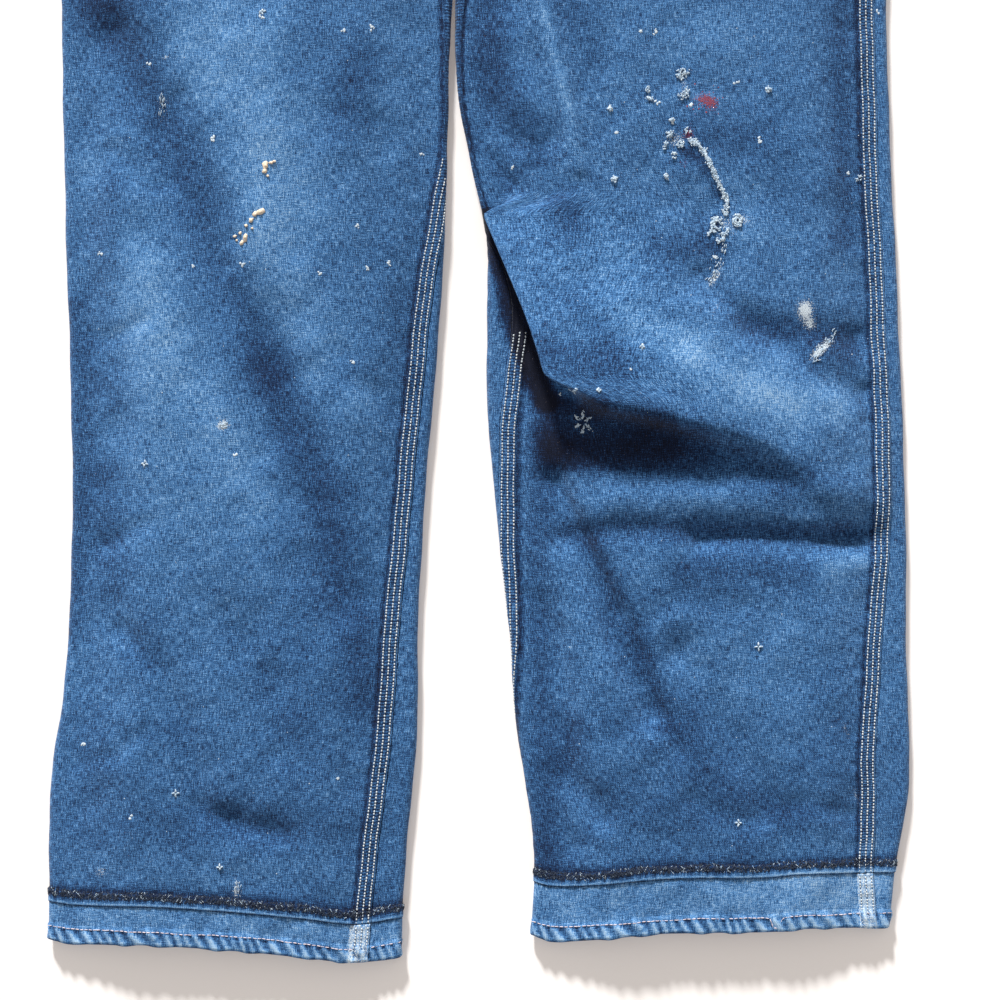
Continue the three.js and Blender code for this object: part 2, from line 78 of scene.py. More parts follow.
RIGHT_OUTER: Run = (
    (0, -311), (88, -310.5), (140, -308.5), (196, -300), (325, -294), (541, -299), (693, -302),
    (770, -302), (850, -290), (930, -269), (WAIST, -251), (WAISTBAND_TOP, -248))
RIGHT_INNER: Run = (
    (0, -57), (80, -53), (153, -46), (261, -44), (369, -37), (455, -29.5), (541, -25), (640, -23),
    (CROTCH, CENTRE - 0.9))
LEFT_INNER: Run = (
    (0, 37), (66, 38.5), (153, 28), (239, 21.5), (325, 11.5), (390, 5.8), (455, 4.3), (520, 5),
    (563, -3.6), (620, -14.4), (655, -17.5), (CROTCH, CENTRE + 0.9))
LEFT_OUTER: Run = (
    (0, 295), (45, 300), (117, 309.5), (217, 307.5), (325, 306.7), (477, 301), (606, 295),
    (693, 293), (770, 294), (850, 285), (930, 267), (WAIST, 251), (WAISTBAND_TOP, 248))
RIGHT_OUTSEAM: Run = ((0, -24), (640, -24), (760, -10), (900, 18), (WAISTBAND_TOP, 18))
RIGHT_INSEAM: Run = (
    (0, 26.5), (103, 22.7), (172, 20.5), (240, 16), (333, 12), (394, 11.3), (486, 8.5),
    (546, 0.5), (590, -6), (660, -5), (CROTCH, 0))
LEFT_INSEAM: Run = (
    (0, -14), (150, -14), (196, -8), (247, -2), (309, 3.5), (375, 10.3), (422, 17), (469, 21.5),
    (500, 14), (520, 4), (545, -6), (660, -5), (CROTCH, 0))
LEFT_OUTSEAM: Run = (
    (0, 12.6), (68, 23), (140, 29), (222, 22), (334, 14.3), (560, 13), (693, 12.6), (900, 18),
    (WAISTBAND_TOP, 18))
RIGHT_HEM: Run = (
    (-311, 16), (-292, 13.5), (-240, 13), (-173, 8.8), (-128, 4.5), (-88, 0), (-57, 4))
LEFT_HEM: Run = ((37, 19), (50, 15.5), (72, 15.8), (132, 21.5), (202, 22.5), (235, 25), (300, 25))
HEM_FADE = 150.0

PUFF: Run = (
    (0, 6), (60, 8), (160, 12), (400, 14), (620, 12), (CROTCH, 11), (900, 12), (WAISTBAND_TOP, 7))
PUFF_RUN = 62.0
DIP_REACH = 130.0
POUCH_LIP: Run = ((395, 50), (410, 48), (455, 35), (491, 21), (530, 5), (565, -8))
POUCH_FOOT, POUCH_ROLL, POUCH_SWEEP, POUCH_SETTLE, POUCH_REACH = 15.4, 24.0, 38.0, 90.0, 150.0
SWEEP_FROM, SWEEP_IN, SWEEP_TO, SWEEP_OUT = 398.0, 25.0, 536.0, 18.0
POUCH_CREST: Run = ((40, 408), (101, 399), (158, 387), (209, 372), (262, 338))
POUCH_DROP: Run = ((40, 12), (158, 16), (262, 34))
POUCH_RISE: Run = ((40, 21), (101, 21), (158, 17), (209, 11), (262, 5))
BIB_HALF: Run = ((WAISTBAND_TOP, 152), (1130, 138), (BIB_TOP, 122))
BIB_EDGE, BIB_DOME = 7.4, 8.0
YOKE_EDGE: Run = (
    (WAIST, SIDE_LAP - 0.5), (1042, SIDE_LAP - 0.5), (WAISTBAND_TOP, 10), (1056, 0),
    (1063, -QUARTER), (1075, -26), (1095, -60), (1120, -94), (1150, -122), (1180, -139),
    (YOKE_TOP, -146))


# ---- Curves and cloth arithmetic ---------------------------------------------------------------

def smooth(t: Grid | float) -> Grid:
    """A soft step from 0 to 1 as t goes from 0 to 1."""
    t = np.clip(t, 0.0, 1.0)
    return t * t * (3 - 2 * t)


def bell(x: Grid, width: float, power: int = 2) -> Grid:
    """A hump of 1 at x = 0 that falls away over the width: a high power squares it off."""
    return np.exp(-((x / width) ** power))


def along(points: Run, at: Grid | float) -> Grid:
    """The value of a smooth curve.

    Args:
        points: the (place, value) points that the curve passes through, in order.
        at: places to read it at.

    Returns:
        The values there, held level beyond either end.
    """
    table = np.asarray(points, dtype=float)
    place, value = table[:, 0], table[:, 1]
    last = len(table) - 1
    ahead, behind = np.minimum(np.arange(last + 1) + 1, last), np.maximum(np.arange(last + 1) - 1, 0)
    slope = (value[ahead] - value[behind]) / (place[ahead] - place[behind])
    at = np.clip(np.asarray(at, dtype=float), place[0], place[-1])
    i = np.clip(np.searchsorted(place, at, side="right") - 1, 0, last - 1)
    run = place[i + 1] - place[i]
    t = (at - place[i]) / run
    ends = value[i] + (value[i + 1] - value[i]) * t * t * (3 - 2 * t)
    return ends + run * t * (1 - t) * ((1 - t) * slope[i] - t * slope[i + 1])


def run_distance(run: Run, x: Grid, y: Grid) -> Grid:
    """How far each (x, y) is from a chain of straight runs.

    Args:
        run: the chain's corners.
        x, y: places in the pattern.

    Returns:
        The distances.
    """
    best = np.full(np.broadcast(x, y).shape, 1e9)
    for (ax, ay), (bx, by) in zip(run, run[1:]):
        dx, dy = bx - ax, by - ay
        t = np.clip(((x - ax) * dx + (y - ay) * dy) / (dx * dx + dy * dy), 0, 1)
        best = np.minimum(best, np.hypot(x - ax - t * dx, y - ay - t * dy))
    return best


def rumple(x: Grid, y: Grid, wave: float, seed: int) -> Grid:
    """Soft random unevenness, about -1 to 1, whose bumps are about wave millimetres across.

    Args:
        x, y: places in the pattern.
        wave: size of the bumps.
        seed: which unevenness.

    Returns:
        Its value at each place.
    """
    rng = np.random.default_rng(seed)
    total = np.zeros(np.broadcast(x, y).shape)
    for _ in range(14):
        turn, size, start = rng.uniform(0, math.pi), wave * rng.uniform(0.75, 1.6), rng.uniform(0, 7)
        total += np.sin((x * math.cos(turn) + y * math.sin(turn)) * TURN / size + start)
    return total / 4.5


@dataclass(frozen=True)
class Crease:
    """A trough (rise below 0) or ridge in the cloth, along a chain of (x, y) points."""

    run: Run
    width: float
    rise: float
    sharp: bool = False

    def height(self, x: Grid, y: Grid) -> Grid:
        """How far it moves the cloth up at each place."""
        d = run_distance(self.run, x, y) / self.width
        return self.rise * (np.exp(0.25 - np.sqrt(d * d * 2.2 + 0.0625)) if self.sharp else np.exp(-d * d))


@dataclass(frozen=True)
class Patch:
    """A worn or dirty area, in places a painted highlight: an oval round (x, y) that fades or darkens the
    cloth.
    """

    x: float
    y: float
    across: float
    along: float
    amount: float
    turn: float = 0.0

    def strength(self, x: Grid, y: Grid) -> Grid:
        """How strongly it acts at each place.

        Args:
            x, y: places in the pattern.

        Returns:
            The amount, weighted by the oval.
        """
        c, s = math.cos(math.radians(self.turn)), math.sin(math.radians(self.turn))
        u = ((x - self.x) * c + (y - self.y) * s) / self.across
        w = ((y - self.y) * c - (x - self.x) * s) / self.along
        return self.amount * np.exp(-u * u - w * w)


@dataclass(frozen=True)
class Streak:
    """A lighter or darker band of tone along a chain of (x, y) points."""

    run: Run
    width: float
    amount: float
    edge: float = 2.0

    def strength(self, x: Grid, y: Grid) -> Grid:
        """How strongly it acts at each place: a high edge makes its border crisp."""
        return self.amount * np.exp(-((run_distance(self.run, x, y) / self.width) ** self.edge))


# ---- Creases, wear, and painted shade and highlights -------------------------------------------

LARGE_FOLDS: tuple[Crease, ...] = tuple(Crease(*row) for row in (
    (((-259, 664), (-209, 549), (-151, 441), (-122, 354), (-97, 261)), 19, -6),
    (((-151, 650), (-158, 505)), 36, 4),
    (((-266, 549), (-238, 455), (-202, 361), (-180, 290)), 24, 3.5),
    (((-256, 239), (-227, 210), (-209, 160), (-198, 109), (-150, 95)), 11, -4),
    (((47, 585), (58, 534)), 13, -4),
    (((194, 455), (274, 448)), 13, -4),
    (((158, 304), (202, 307), (230, 300), (274, 307)), 10, -6),
    (((53, 347), (68, 300), (86, 261), (104, 221), (122, 178)), 11, -7),
    (((36, 261), (53, 236), (61, 189), (63, 138), (89, 107)), 10, -4.5),
    (((144, 225), (173, 174), (202, 124)), 14, -4),
    (((-40, 770), (-150, 850), (-205, 905)), 16, -4),
    (((10, 770), (120, 845), (190, 910)), 16, -4),
))
FINE_FOLDS: tuple[Crease, ...] = tuple(Crease(*row) for row in (
    # right leg
    (((-286, 452), (-268, 447), (-240, 460)), 6, -1.6),
    (((-296, 305), (-270, 300), (-238, 316)), 7, -2.0),
    (((-292, 142), (-262, 150), (-238, 168)), 7, -1.6),
    (((-206, 116), (-172, 98), (-138, 92)), 7, -1.3),
    (((-215, 620), (-190, 556), (-176, 520)), 8, -1.8),
    (((-120, 330), (-106, 262), (-96, 190), (-92, 130)), 9, -2.0),
    (((-70, 600), (-78, 520), (-92, 440)), 12, -1.6),
    (((-180, 250), (-150, 205), (-142, 150)), 10, -1.6),
    (((-262, 585), (-236, 556), (-222, 560)), 6, -1.3),
    (((-110, 455), (-92, 420), (-60, 396)), 7, -1.2),
    # left leg
    (((44, 700), (51, 666), (57, 640), (64, 610), (70, 570)), 6, 3.4),
    (((22, 700), (32, 660), (44, 622), (52, 592)), 8, -3.6),
    (((-4, 640), (10, 612), (24, 590)), 8, -2.4),
    (((-8, 594), (8, 577), (26, 558)), 6, -3.0, True),
    (((156, 490), (196, 458), (232, 430), (274, 410)), 11, -3.5),
    (((58, 306), (101, 312), (158, 311), (230, 309), (282, 306)), 8, -2.4),
    (((235, 309), (262, 308), (284, 306)), 4.5, -3.2, True),
    (((96, 331), (158, 334), (230, 336), (272, 344)), 11, 2.6),
    (((56, 346), (68, 322), (84, 287), (98, 257), (112, 236), (126, 190), (144, 150)), 6, -3.0, True),
    (((72, 332), (92, 296), (108, 264)), 8, 1.8),
    (((44, 134), (50, 108), (66, 84)), 8, -2.2),
    (((204, 108), (236, 116), (266, 106)), 9, -2.6),
    (((150, 118), (176, 106), (200, 100)), 8, -1.8),
    (((122, 250), (150, 262), (196, 256)), 9, -1.2),
    (((120, 560), (160, 540), (210, 548)), 16, -1.5),
    (((250, 640), (262, 560), (262, 520)), 9, -1.4),
    (((276, 412), (281, 380), (284, 340)), 5, -1.8),
    # hips
    (((-60, 735), (-130, 772), (-180, 800)), 7, -2.0),
    (((24, 735), (96, 776), (150, 806)), 7, -2.0),
    (((-230, 985), (-180, 965), (-110, 978)), 9, -1.8),
    (((110, 980), (175, 962), (228, 984)), 9, -1.8),
))
STREAKS: tuple[Streak, ...] = tuple(Streak(*row) for row in (
    # right leg: the long diagonal hollow, less worn and partly painted shade, and the darker tone beside the
    # seam
    (((-274, 690), (-252, 657), (-223, 599), (-200, 548), (-173, 484), (-151, 426)), 18, -0.20),
    (((-151, 426), (-130, 369), (-108, 335), (-101, 282), (-88, 225), (-86, 190)), 18, -0.24),
    (((-86, 650), (-92, 610)), 16, -0.20),
    (((-290, 470), (-284, 420), (-290, 300), (-296, 240)), 10, -0.18),
    (((-262, 440), (-258, 400)), 13, -0.14),
    (((-270, 350), (-262, 270)), 13, -0.16),
    (((-120, 680), (-128, 640)), 16, -0.06),
    (((-262, 560), (-268, 520), (-270, 480)), 12, -0.10),
    (((-240, 240), (-238, 215)), 12, -0.14),
    (((-160, 230), (-140, 190), (-130, 160)), 20, -0.09),
    (((-280, 170), (-270, 130)), 14, -0.08),
    (((-236, 500), (-215, 430), (-180, 380), (-160, 330)), 16, 0.10),
    (((-178, 520), (-150, 470), (-118, 420)), 12, 0.14),
    (((-190, 120), (-165, 100), (-140, 96)), 10, -0.07),
    # left leg: a painted highlight on the ridge at the thigh and painted shade in the hollows beside it
    (((42, 700), (49, 666), (55, 642), (63, 612)), 3.4, 0.24),
    (((60, 620), (68, 575)), 4, 0.08),
    (((8, 690), (8, 650), (24, 610), (40, 580)), 14, -0.18),
    (((-12, 600), (8, 577), (22, 560)), 9, -0.18),
    (((66, 690), (76, 650)), 12, -0.12),
    (((60, 545), (66, 525)), 12, -0.20),
    (((258, 700), (260, 600), (262, 520)), 11, -0.20),
    (((150, 590), (190, 585), (215, 560)), 18, -0.12),
    # a lighter band on the knee pouch's upper slope: wear, and painted highlight where the slope faces the
    # light
    (((90, 470), (125, 452), (160, 428), (200, 412), (228, 402)), 13, 0.15),
    (((80, 470), (90, 440)), 18, -0.10),
    (((46, 372), (42, 300), (44, 200), (48, 70)), 11, -0.17),
    (((262, 430), (272, 400)), 10, -0.12),
    (((118, 240), (150, 262), (172, 250)), 22, -0.07),
    (((100, 180), (140, 165), (176, 160)), 22, -0.08),
    (((256, 210), (252, 150)), 24, -0.07),
    (((95, 120), (140, 110), (170, 105)), 16, -0.09),
    (((240, 442), (262, 440)), 8, -0.12),
    (((150, 282), (190, 284), (228, 280)), 14, -0.20),
    (((128, 512), (166, 512)), 12, -0.18),
    (((188, 458), (225, 452), (262, 450)), 11, -0.26),
    (((216, 430), (240, 420), (266, 410)), 12, 0.10),
    (((168, 534), (168, 527)), 2.6, -0.5),
    (((184, 535), (183, 531)), 2.4, -0.45),
    # painted shade below and to the left of the darned eyes and along the rip
    (((158, 534), (160, 520), (170, 513)), 5, -0.16),
    (((150, 582), (160, 566)), 4, -0.14),
    # painted shadow in the hollow under the knee pouch and in the one below it; then painted shade along
    # creases, with a few painted highlights beside them
    (((56, 368), (96, 366)), 13, -0.24, 4.0),
    (((60, 379), (92, 378), (120, 375)), 24, -0.46, 5.0),
    (((50, 402), (68, 400), (86, 398)), 7, -0.3, 3.0),
    (((120, 373), (150, 368)), 19, -0.26, 3.0),
    (((150, 366), (190, 360), (222, 350)), 17, -0.22, 2.0),
    (((62, 311), (110, 312), (158, 311), (230, 308), (276, 306)), 9, -0.24),
    (((80, 300), (88, 288), (98, 262)), 8, -0.22),
    (((112, 240), (124, 205), (136, 170)), 8, -0.20),
    (((66, 170), (62, 140)), 10, -0.22),
    (((150, 145), (185, 120), (215, 110)), 12, -0.14),
    (((250, 282), (272, 290)), 9, 0.18),
    (((150, 330), (172, 336)), 8, 0.08),
    (((44, 438), (66, 430), (96, 424)), 14, -0.17),
    (((-158, 525), (-130, 485), (-108, 452)), 14, 0.13),
    (((86, 262), (106, 225), (112, 212)), 10, -0.10),
    (((151, 190), (151, 165)), 10, -0.12),
    # painted shade along the rip's lower left
    (((145, 583), (158, 575), (166, 559), (171, 549)), 2.4, -0.34),
))
# Where the knee pouch's lip casts its painted shadow on the cloth and seam beside it.
LIP_SHADOW_RUN: Run = (
    (5, 534), (10, 518), (16, 501), (20, 491), (24, 468), (29, 451), (36, 435), (41, 418), (47, 404))
FADES_AND_HIGHLIGHTS: tuple[Patch, ...] = tuple(Patch(*row) for row in (
    # right leg: worn thigh, darker sides, pale shin
    (-175, 665, 38, 60, 0.15),
    (-152, 570, 28, 60, 0.24),
    (-250, 500, 26, 50, 0.08),
    (-240, 440, 26, 50, 0.18),
    (-268, 690, 26, 26, -0.20),
    (-205, 360, 50, 70, 0.10),
    (-70, 640, 18, 60, 0.05),
    (-56, 450, 16, 90, -0.10),
    (-175, 100, 70, 16, -0.10),
    (-200, 66, 110, 14, 0.08),
    # left leg: bright knee, worn and partly a painted highlight on the pouch's lit slope; dark sides
    (90, 500, 30, 22, 0.08),
    (160, 440, 46, 22, 0.06, -20),
    (215, 400, 46, 15, 0.16, -8),
    (185, 560, 30, 14, 0.10),
    (200, 600, 26, 20, -0.06),
    (2, 640, 16, 50, -0.14),
    (200, 210, 60, 60, 0.04),
    (250, 64, 55, 18, 0.22),
    (290, 300, 12, 260, 0.04),
    (-205, 665, 18, 24, 0.12), (-196, 628, 14, 14, 0.14), (-120, 541, 18, 22, 0.11),
    (-86, 398, 14, 12, 0.13), (-130, 255, 14, 70, -0.08), (-216, 167, 12, 12, -0.14),
    (-281, 570, 12, 14, 0.14), (0, 585, 12, 18, 0.14), (52, 372, 14, 34, -0.14),
    (238, 428, 16, 12, -0.16), (216, 376, 18, 16, 0.12), (259, 398, 12, 12, 0.16),
    (194, 412, 16, 14, 0.12), (151, 440, 16, 18, 0.14), (190, 526, 22, 14, 0.10),
    (170, 668, 40, 24, 0.08), (46, 82, 12, 10, -0.16), (194, 82, 16, 8, -0.12),
    (232, 108, 30, 12, -0.10), (281, 82, 8, 10, 0.25),
))


# ---- Meshes ------------------------------------------------------------------------------------

class Place:
    """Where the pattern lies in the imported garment, and the making of objects there."""

    def __init__(self) -> None:
        """Finds the pattern's place from the solids of the waistband, straps and yoke."""
        low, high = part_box("waistband")
        self.x = (low[0] + high[0]) / 2
        self.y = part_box("left_strap")[1][1] - SHOULDER / 1000
        self.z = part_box("back_yoke")[0][2]

    def metres(self, points: Grid) -> Grid:
        """Pattern points in millimetres, as points of the garment in metres."""
        return points / 1000 + np.array((self.x, self.y, self.z))

    def mesh(
        self,
        name: str,
        points: Grid,
        faces: Grid,
        material: Material,
        facts: dict[str, Grid] | None = None,
    ) -> Thing:
        """Makes an object from pattern points.

        Args:
            name: the object's name.
            points: (n, 3) points in the pattern, in millimetres.
            faces: (m, 3) or (m, 4) corners, or a list of such arrays.
            material: its finish.
            facts: values for each point, one number or three, kept as named attributes.

        Returns:
            The new object, shaded smooth.
        """
        groups = faces if isinstance(faces, list) else [faces]
        mesh = bpy.data.meshes.new(name)
        corners = np.concatenate([g.ravel() for g in groups]).astype(np.int32)
        sides = np.concatenate([np.full(len(g), g.shape[1]) for g in groups]).astype(np.int32)
        mesh.vertices.add(len(points))
        mesh.vertices.foreach_set("co", self.metres(points).astype(np.float32).ravel())
        mesh.loops.add(len(corners))
        mesh.loops.foreach_set("vertex_index", corners)
        mesh.polygons.add(len(sides))
        starts = np.concatenate(([0], np.cumsum(sides)[:-1])).astype(np.int32)
        mesh.polygons.foreach_set("loop_start", starts)
        mesh.polygons.foreach_set("use_smooth", np.ones(len(sides), dtype=bool))
        for label, values in (facts or {}).items():
            kind, key = ("FLOAT", "value") if values.ndim == 1 else ("FLOAT_VECTOR", "vector")
            layer = mesh.attributes.new(label, kind, "POINT")
            layer.data.foreach_set(key, values.astype(np.float32).ravel())
        mesh.update(calc_edges=True)
        mesh.validate()
        mesh.materials.append(material)
        thing = bpy.data.objects.new(name, mesh)
        bpy.context.collection.objects.link(thing)
        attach(thing, "root")
        LOG.info("%s: %d faces", name, len(sides))
        return thing


@dataclass
class Shell:
    """A wall of cloth: an outside and an inside grid of points, closed all round."""

    outside: Grid
    inside: Grid
    cloth: Grid
    wear_and_shade: Grid
    paint: Grid | None = None
    red: Grid | None = None
    lap: Grid | None = None

    def faces(self) -> Grid:
        """The four-sided faces of both grids and of the rim between them.

        Returns:
            An (n, 4) array of corners.
        """
        high, wide = self.outside.shape[:2]
        index = np.arange(high * wide).reshape(high, wide)
        back = index + high * wide
        a, b, c, d = index[:-1, :-1], index[:-1, 1:], index[1:, 1:], index[1:, :-1]
        front = np.stack((a, b, c, d), -1).reshape(-1, 4)
        behind = front[:, ::-1] + high * wide

        def rim(line: Grid, under: Grid) -> Grid:
            """Faces between an edge of the one grid and the same edge of the other."""
            return np.stack((line[1:], line[:-1], under[:-1], under[1:]), -1)

        rims = (
            rim(index[0], back[0]), rim(index[-1, ::-1], back[-1, ::-1]),
            rim(index[::-1, 0], back[::-1, 0]), rim(index[:, -1], back[:, -1]))
        return np.concatenate((front, behind, *rims))

    def build(self, place: Place, name: str, material: Material) -> Thing:
        """Makes the object, with its weave place, its wear with painted shade and highlights, and paint kept
        on its points.

        Args:
            place: where the pattern lies.
            name: the object's name.
            material: its finish.

        Returns:
            The object.
        """
        blank = np.zeros_like(self.wear_and_shade)
        paint = blank if self.paint is None else self.paint
        red = blank if self.red is None else self.red
        lap = blank if self.lap is None else self.lap

        def both(values: Grid) -> Grid:
            """The same values for the outside's points and the inside's."""
            flat = values.reshape(-1, values.shape[-1]) if values.ndim == 3 else values.ravel()
            return np.concatenate((flat, flat))

        points = np.concatenate((self.outside.reshape(-1, 3), self.inside.reshape(-1, 3)))
        inner = np.concatenate((blank.ravel(), np.ones(blank.size)))
        # This tone attribute holds wear and dirt, and on the legs painted shade and highlights too.
        facts = {"cloth": both(self.cloth), "wear_and_shade": both(self.wear_and_shade) + 0.25 * inner,
                 "paint": both(paint) * (1 - inner), "red": both(red) * (1 - inner),
                 "lap": both(lap) * (1 - inner)}
        return place.mesh(name, points, self.faces(), material, facts)


class Strands:
    """Many short threads, joined into one mesh."""

    def __init__(self) -> None:
        """Starts with no threads."""
        self.starts: list[Grid] = []
        self.ends: list[Grid] = []
        self.ups: list[Grid] = []
        self.radii: list[Grid] = []

    def add(self, start: Grid, end: Grid, up: Grid, radius: float | Grid) -> None:
        """Adds threads.

        Args:
            start: (n, 3) points where they begin.
            end: (n, 3) points where they end.
            up: (n, 3) the cloth's outward direction at each.
            radius: of each, or of all.
        """
        self.starts.append(start)
        self.ends.append(end)
        self.ups.append(up)
        self.radii.append(np.broadcast_to(np.asarray(radius, dtype=float), (len(start),)))

    def build(self, place: Place, name: str, material: Material) -> Thing:
        """Makes the mesh: each thread is a small spindle that dips into the cloth at its ends.

        Args:
            place: where the pattern lies.
            name: the object's name.
            material: its finish.

        Returns:
            The object.
        """
        start, end = np.concatenate(self.starts), np.concatenate(self.ends)
        up, radius = np.concatenate(self.ups), np.concatenate(self.radii)[:, None]
        run = end - start
        length = np.maximum(np.linalg.norm(run, axis=1, keepdims=True), 1e-6)
        ahead = run / length
        side = np.cross(ahead, up)
        side /= np.maximum(np.linalg.norm(side, axis=1, keepdims=True), 1e-6)
        top = np.cross(side, ahead)
        rings = [start - top * radius * 0.4]
        for t in (0.22, 0.78):
            middle = start + run * t + top * radius * 0.25
            rings += [middle + (side * c + top * s) * radius
                      for c, s in ((1, 0), (0, 1), (-1, 0), (0, -1))]
        rings.append(end - top * radius * 0.4)
        points = np.stack(rings, 1)
        base = (np.arange(len(start)) * 10)[:, None, None]
        caps = np.array([(0, 1 + (k + 1) % 4, 1 + k) for k in range(4)]
                        + [(9, 5 + k, 5 + (k + 1) % 4) for k in range(4)])
        walls = np.array([(1 + k, 1 + (k + 1) % 4, 5 + (k + 1) % 4, 5 + k) for k in range(4)])
        faces = [(caps[None] + base).reshape(-1, 3), (walls[None] + base).reshape(-1, 4)]
        return place.mesh(name, points.reshape(-1, 3), faces, material)


class Crusts:
    """Many small flattened lumps of dried paint, joined into one mesh."""

    SIDES = 9

    def __init__(self, seed: int) -> None:
        """Starts with no lumps."""
        self.rng = np.random.default_rng(seed)
        self.points: list[Grid] = []

    def add(self, middle: Grid, up: Grid, size: Grid, high: Grid | float,
            turn: Grid | float = 0.0, stretch: Grid | float = 1.0) -> None:
        """Adds lumps.

        Args:
            middle: (n, 3) points of cloth under their middles.
            up: (n, 3) the cloth's outward direction at each.
            size: their radii.
            high: their heights above the cloth.
            turn: the directions that they are stretched in, in degrees from +X.
            stretch: how many times longer than wide they are.
        """
        count = len(middle)
        size, high, turn, stretch = (
            np.broadcast_to(np.asarray(a, float), (count,))[:, None, None]
            for a in (size, high, turn, stretch))
        turn = np.radians(turn[:, :, 0])
        ahead = np.concatenate((np.cos(turn), np.sin(turn), np.zeros_like(turn)), 1)
        ahead -= up * (ahead * up).sum(1, keepdims=True)
        ahead /= np.linalg.norm(ahead, axis=1, keepdims=True)
        side = np.cross(up, ahead)
        angle = np.linspace(0, TURN, self.SIDES, endpoint=False)[None, :, None]
        ragged = 1 + 0.30 * self.rng.uniform(-1, 1, (count, self.SIDES, 1))
        out = np.cos(angle) * ahead[:, None] * stretch + np.sin(angle) * side[:, None]
        middle, up = middle[:, None], up[:, None]
        rings = [middle - up * 0.4 * high]
        for reach, level in ((1.0, -0.3), (0.95, 0.35), (0.6, 0.9)):
            jitter = 1 + 0.14 * self.rng.uniform(-1, 1, (count, self.SIDES, 1))
            rings.append(middle + out * size * reach * ragged * jitter + up * high * level)
        rings.append(middle + up * high)
        self.points.append(np.concatenate(rings, 1).reshape(-1, 3))

    def build(self, place: Place, name: str, material: Material) -> Thing:
        """Makes the mesh.

        Args:
            place: where the pattern lies.
            name: the object's name.
            material: its finish.

        Returns:
            The object.
        """
        n, per = self.SIDES, 3 * self.SIDES + 2
        ring = np.arange(n)
        after = (ring + 1) % n
        caps = np.concatenate((
            np.stack((np.zeros(n, int), 1 + after, 1 + ring), 1),
            np.stack((np.full(n, per - 1), 1 + 2 * n + ring, 1 + 2 * n + after), 1)))
        walls = np.concatenate([
            1 + k * n + np.stack((ring, after, n + after, n + ring), 1) for k in range(2)])
        points = np.concatenate(self.points)
        base = (np.arange(len(points) // per) * per)[:, None, None]
        faces = [(caps[None] + base).reshape(-1, 3), (walls[None] + base).reshape(-1, 4)]
        return place.mesh(name, points, faces, material)


# ---- Finishes ----------------------------------------------------------------------------------

class Graph:
    """Short ways to add shader nodes to one tree."""

    def __init__(self, tree: bpy.types.NodeTree) -> None:
        """Works on the given tree."""
        self.tree = tree

    def node(self, kind: str, **settings: object) -> bpy.types.Node:
        """Adds a node of the kind, with its settings.

        Args:
            kind: its type's name.
            settings: its properties.

        Returns:
            The node.
        """
        made = self.tree.nodes.new(kind)
        for key, value in settings.items():
            setattr(made, key, value)
        return made

    def put(self, socket: Socket, value: object) -> None:
        """Links a socket, or sets a plain value, into an input socket.

        Args:
            socket: the input.
            value: what it gets.
        """
        if isinstance(value, Socket):
            self.tree.links.new(value, socket)
        elif value is not None:
            socket.default_value = value

    def math(self, operation: str, a: object, b: object = None, clamp: bool = False) -> Socket:
        """The result of a Math node.

        Args:
            operation: which one.
            a, b: its inputs.
            clamp: whether to hold it in 0 to 1.

        Returns:
            The output socket.
        """
        made = self.node("ShaderNodeMath", operation=operation, use_clamp=clamp)
        self.put(made.inputs[0], a)
        self.put(made.inputs[1], b)
        return made.outputs[0]

    def scaled(self, vector: object, by: tuple[float, float, float]) -> Socket:
        """A vector with each part multiplied.

        Args:
            vector: the vector.
            by: the three factors.

        Returns:
            The output socket.
        """
        made = self.node("ShaderNodeVectorMath", operation="MULTIPLY")
        self.put(made.inputs[0], vector)
        self.put(made.inputs[1], by)
        return made.outputs[0]

    def noise(self, vector: object, scale: float, detail: float = 2.0, rough: float = 0.55) -> Socket:
        """The value of a noise texture.

        Args:
            vector: where it is read.
            scale: bumps for each unit.
            detail: octaves.
            rough: their weight.

        Returns:
            The output socket.
        """
        made = self.node("ShaderNodeTexNoise")
        self.put(made.inputs["Vector"], vector)
        self.put(made.inputs["Scale"], scale)
        self.put(made.inputs["Detail"], detail)
        self.put(made.inputs["Roughness"], rough)
        return made.outputs[0]

    def stretch(self, value: object, low: float, high: float, to_low: float = 0.0,
                to_high: float = 1.0) -> Socket:
        """A value mapped from one range to another, held at its ends.

        Args:
            value: what is mapped.
            low: start of its range.
            high: end of its range.
            to_low: what the start becomes.
            to_high: what the end becomes.

        Returns:
            The output socket.
        """
        made = self.node("ShaderNodeMapRange", clamp=True)
        for slot, number in enumerate((value, low, high, to_low, to_high)):
            self.put(made.inputs[slot], number)
        return made.outputs[0]

    def mix(self, factor: object, a: object, b: object) -> Socket:
        """Two colours mixed.

        Args:
            factor: the share of b.
            a, b: the colours.

        Returns:
            The output socket.
        """
        made = self.node("ShaderNodeMix", data_type="RGBA")
        self.put(made.inputs[0], factor)
        self.put(made.inputs[6], a)
        self.put(made.inputs[7], b)
        return made.outputs[2]

    def fact(self, label: str) -> bpy.types.Node:
        """A named value kept on the mesh."""
        return self.node("ShaderNodeAttribute", attribute_name=label)


def new_material(name: str) -> tuple[Material, Graph, bpy.types.Node]:
    """Starts a material.

    Args:
        name: its name.

    Returns:
        The material, a graph of it, and its shader.
    """
    made = bpy.data.materials.new(name)
    made.use_nodes = True
    return made, Graph(made.node_tree), made.node_tree.nodes["Principled BSDF"]


def group_node(graph: Graph, group: bpy.types.NodeTree, inputs: dict[str, object]) -> bpy.types.Node:
    """Places a node group in a graph.

    Args:
        graph: the graph that it goes in.
        group: the group.
        inputs: what each named input gets.

    Returns:
        The group's node.
    """
    made = graph.node("ShaderNodeGroup")
    made.node_tree = group
    for key, value in inputs.items():
        graph.put(made.inputs[key], value)
    return made


